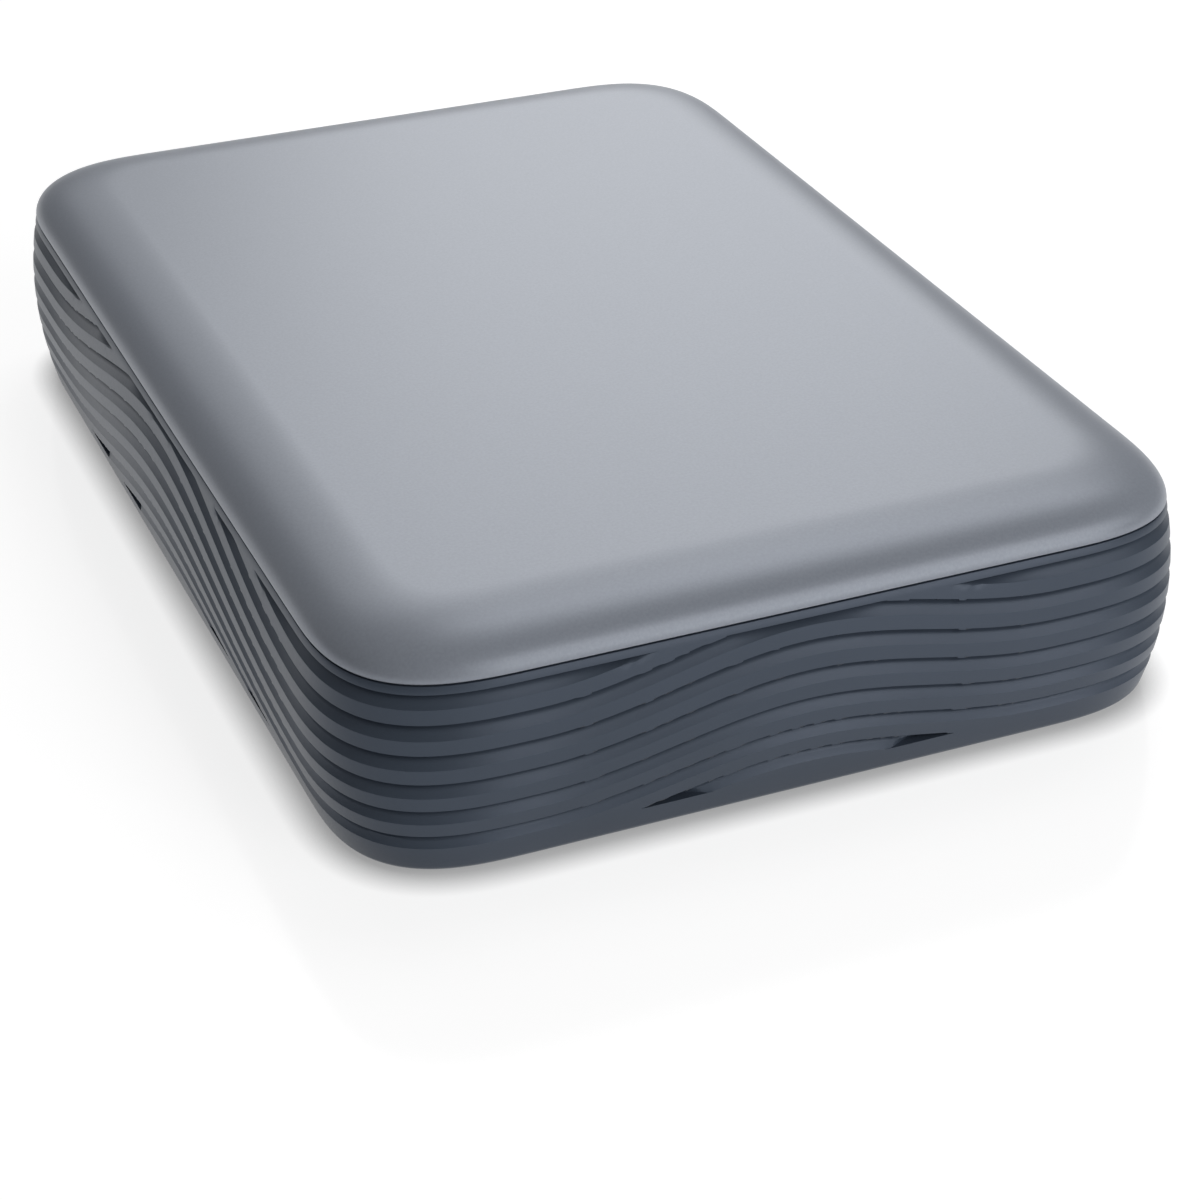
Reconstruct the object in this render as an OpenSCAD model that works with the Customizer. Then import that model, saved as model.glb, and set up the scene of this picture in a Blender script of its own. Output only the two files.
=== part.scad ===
// Desktop external hard drive: a wavy-ridged slate casing under a smooth crowned cover,
// with a 2.5-inch, 15 mm high disk drive held inside on rubber corner pads.
// Millimetres. +X runs along the width, +Y towards the end with the data socket, +Z up.
// The origin is under the middle of the casing, on the surface the drive stands on.

/* [Room round the disk drive] */
// Gap between the disk drive and the side walls
side_gap = 2.425; // [2.325:0.025:4]
// Gap between the disk drive and the end wall opposite the socket
end_gap = 2.3; // [2.2:0.05:4]
// Room between the disk drive and the end wall with the socket
socket_room = 6.45; // [6.2:0.05:9]
// Gap below and above the disk drive, filled by the rubber pads
drive_lift = 1.95; // [1.6:0.05:3]

/* [Casing] */
// Size of the rounded corners seen from above
corner_r = 16; // [13:0.5:16.5]
// Fullness of those corners, where 2 is a plain circle
corner_power = 3; // [2.6:0.1:4]
// Height of the cover above the seam
cover_h = 3.8; // [3.2:0.1:4.2]
// How far the wall draws in from its widest height up to the seam
barrel = 0.9; // [0.2:0.1:1]
// Distance from the seam down to where the wall is widest
widest_down = 7.95; // [6:0.05:9]
// Rounding of the edge between wall and underside
base_round = 0.7; // [0.4:0.1:1]
// Wall left behind the deepest part of a groove
case_wall = 0.9; // [0.8:0.05:1.2]
// Thickness of the floor of the casing
case_floor = 1.5; // [1.2:0.1:1.8]
// Slope between floor and wall inside the casing, measured inward
cove = 1; // [0.6:0.1:1.4]
// Height of that slope
cove_h = 2; // [1.4:0.1:2]

/* [Waves] */
// Distance from one ridge to the next
ridge_pitch = 2.69; // [2.3:0.01:3.2]
// Height of a groove between two ridges
groove_h = 1.3; // [0.9:0.05:1.6]
// Depth of a groove under the edge of the ridge above it
groove_depth = 0.85; // [0.3:0.05:1]
// Distance from the seam down to the lower edge of the uppermost groove at a corner
groove_down = 1.9; // [1.6:0.05:2.4]
// Plain band left below the seam
rim_band = 0.65; // [0.4:0.05:1]
// Plain band left above the underside
foot_band = 2.5; // [2:0.1:3.2]
// How far the ridges climb in the middle of a long side
rise_long = 6.25; // [0:0.05:8]
// How far the ridges climb in the middle of a short side
rise_short = 3.25; // [0:0.05:5]
// Shift of the long sides' crest away from the socket end
crest_shift = 2.3; // [0:0.1:4]
// Extra depth where a groove runs out on the lower band
pocket_depth = 0.7; // [0:0.1:0.8]
// Height of that deeper place
pocket_h = 0.7; // [0.4:0.1:1]

/* [Cover] */
// How far the crowned edge of the cover reaches inward
crown_reach = 8; // [5:0.5:12]
// Thickness of the cover
cover_wall = 1.6; // [1.2:0.1:1.8]
// Open seam between casing and cover
seam_gap = 0.15; // [0.05:0.05:0.3]
// Depth of the locating ribs that hang inside the casing
rib_drop = 1.6; // [1:0.1:2.2]
// Thickness of the locating ribs
rib_t = 1; // [0.8:0.1:1.2]
// Side clearance of the locating ribs
rib_clear = 0.15; // [0.05:0.05:0.3]

/* [Feet] */
// Diameter of a rubber foot
foot_d = 9; // [6:0.5:11]
// How far a foot stands proud of the underside
foot_proud = 0.3; // [0.2:0.1:1]
// Depth of the recess a foot is glued into
foot_seat = 0.5; // [0.3:0.1:0.8]
// Distance of the feet from the sides of the casing
foot_inset = 12; // [10:0.5:16]

/* [Rubber pads] */
// Play between the rubber pads and the casing and cover
pad_play = 0.1; // [0.05:0.05:0.2]
// How far the rubber pads reach along the sides of the disk drive
pad_reach = 15; // [10:0.5:18]
// How far the rubber pads reach under and over the disk drive
pad_grip = 8; // [5:0.5:10]

/* [Disk drive] */
// Wall beside the disks
side_wall = 1.525; // [1.4:0.025:2]
// Wall at the end near the disks
end_wall = 1.8; // [1.5:0.1:3]
// Wall beside the head actuator
bay_wall = 3.425; // [3.325:0.025:4]
// Room behind the head actuator for the end wall and the plug
plug_room = 6.95; // [6.8:0.05:8]
// Corner radius
drive_corner = 3; // [2.5:0.1:4]
// Side clearance of the circuit board in its recess
recess_play = 0.6; // [0.3:0.1:0.8]
// Width of the edge round the circuit board's recess
recess_edge = 2.525; // [2.4:0.025:3]
// Distance of the lid's corner screws from the sides
lid_screw_in = 3.3; // [3:0.05:3.5]
// Distance of the circuit board's screws from its side edges
board_screw_in = 2.8; // [2.2:0.1:4]
// Diameter of the threaded fixing holes in the sides
side_hole_d = 2.5; // [2:0.1:2.6]
// Distance of the front pair of those holes from the plug end
side_hole_front = 14; // [12:0.1:16]
// Distance of the rear pair of those holes from the plug end
side_hole_back = 90.6; // [88:0.1:93]
// Width of the plug
plug_w = 41.2; // [40:0.1:42]

/* [Disks] */
// Number of disks
disk_count = 4; // [1:1:4]
// Diameter of a disk
disk_d = 65; // [60:0.5:70]
// Thickness of a disk
disk_t = 0.8; // [0.6:0.05:0.9]
// Distance from one disk to the next
disk_pitch = 2; // [1.9:0.05:2]
// Inner diameter of a disk
disk_bore = 20; // [19:0.5:21]
// Gap between the disks and the round well they turn in
disk_play = 0.9; // [0.6:0.1:1.5]
// Room from the top of the uppermost disk to the top of the disk drive
stack_room = 3; // [2.9:0.1:4]
// Diameter of the spindle shaft
shaft_d = 4; // [3:0.25:5]
// Running clearance of the spindle and pivot bearings, on the radius
bearing_play = 0.04; // [0.02:0.01:0.06]

/* [Head actuator] */
// Radius of the boss round the pivot
pivot_r = 6; // [5.5:0.1:6.5]
// Gap between that boss and the rim of the disks
pivot_gap = 1.064; // [1:0.002:2]
// Closest the arc of the heads comes to the axis of the disks, if it went on
arc_miss = 6.06; // [5.5:0.02:6.5]
// Distance of the parked heads from the rim of the disks
park_gap = 3.1; // [2.7:0.1:3.5]
// Distance from the hub's flange to the innermost track
track_gap = 2.12; // [1.8:0.02:3.5]
// Thickness of a head arm
arm_t = 0.7; // [0.5:0.05:0.8]
// Outer radius of the voice coil about the pivot
coil_r = 18; // [16.5:0.25:19]
// Inner radius of the voice coil about the pivot
coil_in_r = 8.8; // [8:0.1:9]
// Gap between the voice coil's outer radius and the side wall
coil_gap = 1.5; // [1.3:0.05:2]
// Gap between the voice coil's outer radius and the end wall
coil_end_gap = 2.5; // [2:0.1:3]
// Half of the angle the voice coil covers
coil_half = 22; // [19:0.5:22]
// Thickness of the voice coil
coil_t = 1.8; // [1.2:0.1:2]
// Gap between the magnets in which the coil swings
magnet_gap = 2.9; // [2.6:0.1:3.2]
// Thickness of a magnet
magnet_t = 1.8; // [1.4:0.1:1.9]
// Thickness of a steel yoke plate
yoke_t = 1.4; // [1:0.1:1.5]
// Room from the upper yoke plate to the top of the disk drive
magnet_room = 1.7; // [1.5:0.1:3]

/* [Data socket] */
// Width of the metal shell of the socket
socket_w = 12.9; // [12.5:0.1:13.3]
// Height of the metal shell of the socket
socket_h = 2.9; // [2.8:0.1:3.2]
// Depth of the socket
socket_l = 5.4; // [5:0.1:5.8]
// Wall of the metal shell
socket_wall = 0.3; // [0.2:0.05:0.35]
// Width of the wider one of the two parts of the socket
socket_part_w = 7.9; // [7.4:0.1:8.4]
// Slant of that part's lower corners
socket_slant = 0.9; // [0.6:0.1:1.1]
// Clearance between the socket and its cut-out in the casing
socket_play = 0.5; // [0.3:0.05:0.7]
// Thickness of the bridge board
board_t = 1; // [0.8:0.1:1.2]
// Side clearance between the plug and the receptacle's body
plug_play = 0.3; // [0.2:0.05:0.5]
// How far the bridge board reaches past the receptacle on each side
board_side = 2.1; // [2:0.1:2.4]
// Distance of the indicator light from the middle of the socket
light_x = 14; // [12:0.5:17]
// Diameter of the light guide
light_d = 1.8; // [1.2:0.1:2.2]

/* [Hidden] */
$fn = 64;

slate = [0.33, 0.35, 0.39];
silver = [0.62, 0.64, 0.68];
rubber = [0.12, 0.12, 0.13];
steel = [0.7, 0.71, 0.72];
cast_metal = [0.55, 0.56, 0.57];
board_green = [0.08, 0.25, 0.16];
chip_black = [0.07, 0.07, 0.08];

// Levels inside the disk drive, above its underside.
recess_z = 1.6;
well_z = 2.2;
cavity_z = 4;
first_disk_z = 5.2;
lid_t = 0.5;
gasket_t = 0.3;
screw_head_h = 0.3;
spacer_t = disk_pitch - disk_t;
stack_top = first_disk_z + (disk_count - 1) * disk_pitch + disk_t;
magnets_top = cavity_z + 2 * yoke_t + 2 * magnet_t + magnet_gap;
first_arm_z = first_disk_z - spacer_t / 2;

// The disk drive is built up round its disks and its head actuator; v counts along it,
// from the end away from the socket.
well_r = disk_d / 2 + disk_play;
hub_r = disk_bore / 2 - 0.02;
flange_r = hub_r + 2.4;
drive_w = 2 * (well_r + side_wall);
drive_h = max(stack_top + stack_room, magnets_top + magnet_room);
lid_z = drive_h - screw_head_h - lid_t;
base_top = lid_z - gasket_t;
chamber_right = drive_w / 2 - bay_wall;
chamber_left = chamber_right - 0.5;
pivot_x = chamber_right - coil_gap - coil_r;
pivot_dist = disk_d / 2 + pivot_r + pivot_gap;
pivot_dy = sqrt(pivot_dist * pivot_dist - pivot_x * pivot_x);
spindle_v = well_r + end_wall;
pivot_v = spindle_v + pivot_dy;
chamber_start = spindle_v + 17;
chamber_v = pivot_v + coil_r + coil_end_gap;
drive_l = chamber_v + plug_room;
notch_v = drive_l - 5.75;

// Insets of the cavity and of the cover's parts from the widest outline.
cavity_in = barrel + groove_depth + case_wall;
rib_in = cavity_in + rib_clear;
cover_in = rib_in + rib_t;

// The casing is built up round the disk drive: 80 by 114.4 by 22 without the feet.
body_w = drive_w + 2 * (side_gap + cavity_in);
body_l = drive_l + end_gap + socket_room + 2 * cavity_in;
body_h = case_floor + 2 * drive_lift + drive_h + cover_wall;
seam_z = body_h - cover_h;
widest_z = seam_z - widest_down;
first_groove_z = seam_z - groove_down;
ceiling_z = body_h - cover_wall;

// Half lengths of the straight part of each side.
flat_x = body_w / 2 - corner_r;
flat_y = body_l / 2 - corner_r;

// Place of the disk drive in the casing.
drive_y = -body_l / 2 + cavity_in + end_gap;
drive_z = case_floor + drive_lift;

// Angles of the head arms, from the triangle of spindle, pivot and head.
head_reach = pivot_dist - arc_miss;
park_r = disk_d / 2 + park_gap;
inner_track_r = flange_r + track_gap;
spindle_dir = atan2(-pivot_dy, -pivot_x);
park_swing = acos((pivot_dist * pivot_dist + head_reach * head_reach - park_r * park_r)
                  / (2 * pivot_dist * head_reach));
park_dir = spindle_dir - park_swing;
swing = park_swing - acos((pivot_dist * pivot_dist + head_reach * head_reach
                           - inner_track_r * inner_track_r) / (2 * pivot_dist * head_reach));

// Level of the middle of the voice coil, over the lower plate and magnet.
coil_mid = cavity_z + yoke_t + magnet_t + magnet_gap / 2;

// Socket and board levels above the underside of the casing.
plug_z = 3.1;
receptacle_h = 4;
receptacle_w = plug_w + 2 * plug_play;
board_w = receptacle_w + 2 * board_side;
board_top = drive_z + plug_z - receptacle_h / 2;
board_y0 = drive_y + drive_l + 0.3;
board_y1 = body_l / 2 - cavity_in - 0.3;
socket_mouth_y = body_l / 2 - barrel - 0.2;
socket_z = board_top + socket_h / 2;
receptacle_y1 = socket_mouth_y - socket_l - 0.6;

// ---- functions of the casing's form ----

// Shape of a corner coordinate between flat and flat, for the fullness chosen.
function full(c) = sign(c) * pow(abs(c), 2 / corner_power);

// Stations round the plan, counter-clockwise from the middle of the +X side's upper end:
// a point on an end or a side, or the angle within one of the four corners.
corner_steps = 8;
long_steps = 20;
short_steps = 12;
function corner(x, y, from) =
    [for (i = [0:corner_steps - 1]) ["corner", x, y, from + 90 * i / corner_steps]];
function end(y) =
    [for (i = [0:short_steps - 1]) ["end", y * flat_x * (1 - 2 * i / short_steps), y]];
function side(x) =
    [for (i = [0:long_steps - 1]) ["side", -x * flat_y * (1 - 2 * i / long_steps), x]];
stations = concat(corner(1, 1, 0), end(1), corner(-1, 1, 90), side(-1),
                  corner(-1, -1, 180), end(-1), corner(1, -1, 270), side(1));

// Point of a station on the outline that lies d inside the widest one.
function plan_point(s, d) =
    s[0] == "end" ? [s[1], s[2] * (body_l / 2 - d)] :
    s[0] == "side" ? [s[2] * (body_w / 2 - d), s[1]] :
    [s[1] * flat_x + (corner_r - d) * full(cos(s[3])),
     s[2] * flat_y + (corner_r - d) * full(sin(s[3]))];

// Climb of the ridges at a plan point: one full cosine along the flat of each side.
function hump(u) = abs(u) < 1 ? (1 + cos(180 * u)) / 2 : 0;
function climb(p) =
    (abs(p[0]) >= flat_x - 0.001 ? rise_long * hump((p[1] + crest_shift) / flat_y) : 0)
    + (abs(p[1]) >= flat_y - 0.001 ? rise_short * hump(p[0] / flat_x) : 0);

// Draw-in of the barrel-shaped wall and of its rounded lower edge at height z.
function wall_in(z) =
    barrel * pow((z - widest_z) / (seam_z - widest_z), 2)
    + (z < base_round ? base_round - sqrt(max(0, base_round * base_round
                                               - pow(base_round - z, 2))) : 0);

// Depth of the groove pattern at height z where the ridges have climbed by c: deepest
// under the ridge or rim above it, from where it slopes out to the face of the ridge below.
function groove_in(z, c) =
    let (k = ceil((first_groove_z + c - z) / ridge_pitch - 0.000001),
         low = first_groove_z + c - k * ridge_pitch,
         top = min(low + groove_h, seam_z - rim_band),
         u = (top - z) / (top - low))
    (u >= 0 && u <= 1)
        ? groove_depth * (1 - 0.7 * u - 0.3 * u * u) * min(1, (top - low) / 0.4)
          + (low < foot_band ? pocket_depth * min(1, (foot_band - low) / 0.4)
                               * max(0, 1 - (z - foot_band) / pocket_h) : 0)
        : 0;

// Rings that follow the ridges: four across each groove and one on the ridge above.
edge = 0.03;
groove_count = ceil((first_groove_z + groove_h + max(rise_long, rise_short) - foot_band)
                    / ridge_pitch);
wave_rings = [for (k = [groove_count - 1:-1:0])
    let (low = first_groove_z - k * ridge_pitch)
    each [low, low + 0.4 * groove_h, low + 0.75 * groove_h, low + groove_h - edge,
          low + groove_h]];
ring_count = len(wave_rings);
sliver = 0.005;

// Height of wave ring i at a climb of c, kept between the two plain bands.
function ring_z(i, c) =
    min(max(wave_rings[i] + c, foot_band + edge + sliver * i),
        seam_z - rim_band - edge - sliver * (ring_count - 1 - i));

// A ring of points at each station, at one height and inset.
function flat_ring(d, z) = [for (s = stations) let (p = plan_point(s, d)) [p[0], p[1], z]];

function wave_ring(i) = [for (s = stations)
    let (c = climb(plan_point(s, 0)),
         z = ring_z(i, c),
         p = plan_point(s, wall_in(z) + groove_in(z, c)))
    [p[0], p[1], z]];

// Closed solid through a list of rings, closed by a middle point at each end.
function ring_faces(n, m) = concat(
    [for (i = [0:m - 1]) [n * m, (i + 1) % m, i]],
    [for (k = [0:n - 2], i = [0:m - 1]) each
        [[k * m + i, k * m + (i + 1) % m, (k + 1) * m + (i + 1) % m],
         [k * m + i, (k + 1) * m + (i + 1) % m, (k + 1) * m + i]]],
    [for (i = [0:m - 1]) [n * m + 1, (n - 1) * m + i, (n - 1) * m + (i + 1) % m]]);

module ring_solid(rings) {
    n = len(rings);
    m = len(rings[0]);
    points = concat([for (r = rings) each r],
                    [[0, 0, rings[0][0][2]], [0, 0, rings[n - 1][0][2]]]);
    polyhedron(points, [for (f = ring_faces(n, m)) [f[2], f[1], f[0]]], convexity = 8);
}

// Plan outline of the casing at an inset, as a polygon.
module plan(d) {
    polygon([for (s = stations) plan_point(s, d)]);
}

// ---- small shared shapes ----

module rounded_plate(w, l, r, h) {
    linear_extrude(h) {
        square([w - 2 * r, l], center = true);
        square([w, l - 2 * r], center = true);
        for (x = [-1, 1], y = [-1, 1])
            translate([x * (w / 2 - r), y * (l / 2 - r)]) circle(r);
    }
}

module bar(x0, x1, y0, y1, z0, z1) {
    translate([x0, y0, z0]) cube([x1 - x0, y1 - y0, z1 - z0]);
}

module sector(r0, r1, a0, a1, h) {
    rotate([0, 0, a0]) rotate_extrude(angle = a1 - a0) translate([r0, 0]) square([r1 - r0, h]);
}

module in_case() {
    translate([0, 0, foot_proud]) children();
}

module in_drive() {
    translate([0, drive_y, drive_z + foot_proud]) children();
}

module at_spindle() {
    in_drive() translate([0, spindle_v, 0]) children();
}

module at_pivot() {
    in_drive() translate([pivot_x, pivot_v, 0]) children();
}

// ---- casing ----

module lower_case() {
    color(slate) in_case() difference() {
        union() {
            casing_shell();
            at_board_screws() translate([0, 0, -boss_root])
                cylinder(d = 4.4, h = board_top - board_t - case_floor + boss_root);
        }
        at_board_screws() cylinder(d = 1.9, h = board_top);
        for (x = [-1, 1], y = [-1, 1])
            translate([x * (body_w / 2 - foot_inset), y * (body_l / 2 - foot_inset), -1])
                cylinder(d = foot_d + 0.2, h = 1 + foot_seat);
        socket_cut();
        translate([light_x, body_l / 2 - cavity_in - 2, socket_z])
            rotate([-90, 0, 0]) cylinder(d = light_d + 0.1, h = cavity_in + 4);
    }
}

// Shell of the casing: floor, ridged wall, seam and cavity in one run of rings.
module casing_shell() {
    ring_solid(concat(
        [flat_ring(wall_in(0), 0),
         flat_ring(wall_in(base_round * 0.15), base_round * 0.15),
         flat_ring(wall_in(base_round * 0.5), base_round * 0.5),
         flat_ring(wall_in(base_round), base_round),
         flat_ring(wall_in(foot_band), foot_band)],
        [for (i = [0:ring_count - 1]) wave_ring(i)],
        [flat_ring(wall_in(seam_z - rim_band), seam_z - rim_band),
         flat_ring(wall_in(seam_z), seam_z),
         flat_ring(cavity_in, seam_z),
         flat_ring(cavity_in, case_floor + cove_h),
         flat_ring(cavity_in + cove, case_floor)]));
}

// Places of the two screws that hold the bridge board, on bosses of the casing's floor
// midway between the receptacle and the edge of the board.
boss_root = 0.5;
module at_board_screws() {
    for (x = [-1, 1])
        translate([x * (board_w / 2 - 2.2), (receptacle_y1 + board_y1) / 2, case_floor])
            children();
}

// Rounded cut-out for the plug in the end wall.
module socket_cut() {
    w = socket_w + 2 * socket_play;
    h = socket_h + 2 * socket_play;
    translate([0, body_l / 2 - cavity_in - 2, socket_z]) rotate([-90, 0, 0])
        rounded_plate(w, h, 1, cavity_in + 4);
}

// Crowned edge of the cover: a quarter ellipse from the seam to the top.
function crown_ring(t) = flat_ring(barrel + crown_reach * (1 - cos(t)),
    seam_z + seam_gap + (body_h - seam_z - seam_gap) * sin(t));
function vault_ring(t) = flat_ring(cover_in + (crown_reach - 2) * (1 - cos(t)),
    seam_z + 0.6 + (ceiling_z - seam_z - 0.6) * sin(t));

module top_cover() {
    color(silver) in_case() union() {
        ring_solid(concat(
            [for (t = [90, 60, 30, 0]) vault_ring(t)],
            [flat_ring(cover_in, seam_z + seam_gap)],
            [for (t = [0:10:90]) crown_ring(t)]));
        for (x = [-1, 1])
            scale([x, 1, 1]) bar(body_w / 2 - cover_in, body_w / 2 - rib_in,
                                 -flat_y, flat_y, seam_z - rib_drop, seam_z + 0.9);
        for (y = [-1, 1])
            scale([1, y, 1]) bar(-flat_x, flat_x, body_l / 2 - cover_in, body_l / 2 - rib_in,
                                 seam_z - rib_drop, seam_z + 0.9);
    }
}

module rubber_feet() {
    color(rubber)
        for (x = [-1, 1], y = [-1, 1])
            translate([x * (body_w / 2 - foot_inset), y * (body_l / 2 - foot_inset), 0])
                cylinder(d = foot_d, h = foot_proud + foot_seat);
}

// Rubber corner pads: stepped blocks that fill the room between drive and casing.
module corner_pads() {
    pad_in = cavity_in + pad_play;
    color(rubber) in_case() difference() {
        intersection() {
            union() {
                translate([0, 0, case_floor + pad_play])
                    linear_extrude(cove_h + 0.2) plan(pad_in + cove);
                translate([0, 0, case_floor + cove_h + pad_play])
                    linear_extrude(seam_z - rib_drop - 2 * pad_play - case_floor - cove_h)
                        plan(pad_in);
                translate([0, 0, seam_z - rib_drop - pad_play - 0.1])
                    linear_extrude(drive_z + drive_h + 0.6 - seam_z + rib_drop + pad_play + 0.1)
                        plan(cover_in + 4 * pad_play);
                translate([0, 0, drive_z + drive_h + 0.5])
                    linear_extrude(ceiling_z - pad_play - drive_z - drive_h - 0.5)
                        plan(cover_in + crown_reach - 2);
            }
            for (x = [-1, 1]) {
                scale([x, 1, 1]) bar(drive_w / 2 - pad_grip, body_w,
                                     -body_l, drive_y + pad_reach, 0, body_h);
                scale([x, 1, 1]) bar(drive_w / 2 - pad_grip, body_w,
                                     drive_y + drive_l - pad_reach, body_l, 0, body_h);
            }
        }
        translate([0, drive_y + drive_l / 2, drive_z])
            rounded_plate(drive_w + 0.04, drive_l + 0.04, drive_corner, drive_h);
    }
}

// ---- board behind the socket ----

// Outline of the socket seen from outside: a wider part with slanted lower corners beside
// a narrower one, one notch between them.
socket_split = socket_part_w - socket_w / 2;
function socket_outline() =
    let (w = socket_w / 2, h = socket_h / 2, x = socket_split, c = socket_slant)
    [[-w, h], [-w, c - h], [c - w, -h], [x - c, -h], [x, c - h], [x + 0.3, c - h],
     [x + 0.8, 0.4 - h], [w - 0.4, 0.4 - h], [w, 0.8 - h], [w, h]];

// A polygon that runs counter-clockwise, with each edge moved inward by d.
function unit(v) = v / norm(v);
function inset(p, d) = let (n = len(p))
    [for (i = [0:n - 1])
        let (u = unit(p[i] - p[(i + n - 1) % n]),
             v = unit(p[(i + 1) % n] - p[i]))
        p[i] + d * [-u[1] - v[1], u[0] + v[0]] / (1 + u * v)];

module usb_socket_shell() {
    color(steel) in_case() translate([0, socket_mouth_y, socket_z]) rotate([90, 0, 0])
        difference() {
            linear_extrude(socket_l) polygon(socket_outline());
            translate([0, 0, -1]) linear_extrude(socket_l - socket_wall + 1)
                polygon(inset(socket_outline(), socket_wall));
        }
}

module usb_socket_tongue() {
    color(chip_black) in_case() translate([0, socket_mouth_y - socket_l + socket_wall, socket_z]) {
        bar(socket_slant + socket_wall + 0.2 - socket_w / 2,
            socket_split - socket_slant - socket_wall - 0.2,
            0, socket_l - socket_wall - 0.8, -0.35, 0.35);
        bar(socket_split + socket_wall + 0.8, socket_w / 2 - socket_wall - 0.6,
            0, socket_l - socket_wall - 0.8, -0.25, 0.45);
    }
}

module bridge_board() {
    color(board_green) in_case() difference() {
        bar(-board_w / 2, board_w / 2, board_y0, board_y1, board_top - board_t, board_top);
        at_board_screws() cylinder(d = 2.2, h = board_top);
    }
}

module bridge_chips() {
    color(chip_black) in_case() {
        z = board_top - board_t;
        bar(-9, -4, board_y0 + 0.6, board_y1 - 0.8, z - 0.9, z);
        bar(5, 8, board_y0 + 1, board_y0 + 4, z - 0.8, z);
        bar(11, 13, board_y0 + 1, board_y0 + 2.2, z - 0.6, z);
        bar(-15, -13.2, board_y0 + 1, board_y0 + 2.2, z - 0.6, z);
    }
}

module sata_receptacle() {
    y0 = drive_y + notch_v + 1.7;
    color(chip_black) in_case() difference() {
        bar(-receptacle_w / 2, receptacle_w / 2, y0, receptacle_y1,
            board_top, board_top + receptacle_h);
        bar(-receptacle_w / 2 + 2, receptacle_w / 2 - 2, y0 - 1, receptacle_y1 - 1.6,
            board_top + receptacle_h / 2 - 0.7, board_top + receptacle_h / 2 + 0.7);
        bar(-board_w, board_w, y0 - 1, board_y0 + 0.1, board_top - 1, board_top + 0.3);
    }
}

module light_guide() {
    color("white") in_case() translate([light_x, board_y1 - 1.2, socket_z])
        rotate([-90, 0, 0]) cylinder(d = light_d, h = body_l / 2 - barrel - 0.3 - board_y1 + 1.2);
}

module status_light() {
    color("lightyellow") in_case()
        bar(light_x - 0.8, light_x + 0.8, board_y1 - 2.8, board_y1 - 1.5,
            board_top, board_top + 1.6);
}

module board_screws() {
    color(steel) in_case() at_board_screws() {
        translate([0, 0, 0.2]) cylinder(d = 1.8, h = board_top - case_floor);
        translate([0, 0, board_top - case_floor]) cylinder(d = 3.4, h = 0.9);
    }
}

// ---- disk drive ----

// Plan of the sealed chamber: a round well for the disks and a bay for the actuator.
module chamber(grow, h) {
    linear_extrude(h) {
        translate([0, spindle_v]) circle(well_r + grow, $fn = 128);
        translate([-chamber_left - grow, chamber_start - grow])
            square([chamber_left + chamber_right + 2 * grow,
                    chamber_v - chamber_start + 2 * grow]);
    }
}

drive_board_x = drive_w / 2 - recess_edge - recess_play;
lid_screw_places = concat(
    [for (x = [-1, 1], y = [lid_screw_in, drive_l - lid_screw_in])
        [x * (drive_w / 2 - lid_screw_in), y]],
    [[-chamber_left - 2, chamber_start + 7.8], [chamber_right + 1.7, chamber_start + 7.8]]);
board_screw_places = [for (x = [-1, 1], y = [spindle_v - 9.2, chamber_v - 5.4])
    [x * (drive_board_x - board_screw_in), y]];

side_hole_z = 3;

module drive_base() {
    color(cast_metal) in_drive() difference() {
        translate([0, drive_l / 2, 0]) rounded_plate(drive_w, drive_l, drive_corner, base_top);
        translate([0, 0, cavity_z]) chamber(0, drive_h);
        translate([0, spindle_v, well_z]) cylinder(r = flange_r + 0.7, h = drive_h);
        bar(recess_edge - drive_w / 2, drive_w / 2 - recess_edge, 8, notch_v + 0.1, -1, recess_z);
        bar(-plug_w / 2 - 1, plug_w / 2 + 1, notch_v, drive_l + 1, -1, 6);
        translate([0, spindle_v, -1]) cylinder(d = shaft_d, h = drive_h);
        translate([pivot_x, pivot_v, -1]) cylinder(d = shaft_d, h = drive_h);
        for (p = lid_screw_places)
            translate([p[0], p[1], base_top - 5]) cylinder(d = 1.6, h = 6);
        for (p = board_screw_places)
            translate([p[0], p[1], recess_z - 1]) cylinder(d = 1.9, h = 2.6);
        for (x = [-1, 1], v = [side_hole_front, side_hole_back])
            translate([x * drive_w / 2, drive_l - v, side_hole_z]) rotate([0, 90, 0])
                cylinder(d = side_hole_d, h = 2 * (recess_edge - 0.125), center = true);
    }
}

module drive_lid() {
    color(steel) in_drive() difference() {
        translate([0, drive_l / 2, lid_z])
            rounded_plate(drive_w - 0.4, drive_l - 0.4, drive_corner, lid_t);
        for (p = lid_screw_places)
            translate([p[0], p[1], lid_z - 1]) cylinder(d = 1.6, h = 3);
        translate([0, spindle_v, lid_z - 1]) cylinder(d = 1.8, h = 3);
        translate([9 - chamber_left, chamber_v - 9.4, lid_z - 1]) cylinder(d = 1.2, h = 3);
    }
}

module lid_gasket() {
    color(rubber) in_drive() translate([0, 0, base_top]) difference() {
        chamber(0.8, gasket_t);
        translate([0, 0, -1]) chamber(0.1, 3);
    }
}

module lid_screws() {
    color(steel) in_drive()
        for (p = lid_screw_places)
            translate([p[0], p[1], base_top - 4]) {
                cylinder(d = 1.5, h = lid_z + lid_t - base_top + 4);
                translate([0, 0, lid_z + lid_t - base_top + 4]) cylinder(d = 2.8, h = screw_head_h);
            }
}

module drive_board() {
    color(board_green) in_drive() difference() {
        bar(-drive_board_x, drive_board_x, spindle_v - 13.2, notch_v - 0.3,
            recess_z - 1, recess_z);
        translate([0, spindle_v, -1]) cylinder(r = 12, h = 4);
        for (p = board_screw_places)
            translate([p[0], p[1], -1]) cylinder(d = 2, h = 4);
        translate([pivot_x, pivot_v, -1]) cylinder(d = shaft_d + 1, h = 4);
    }
}

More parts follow.
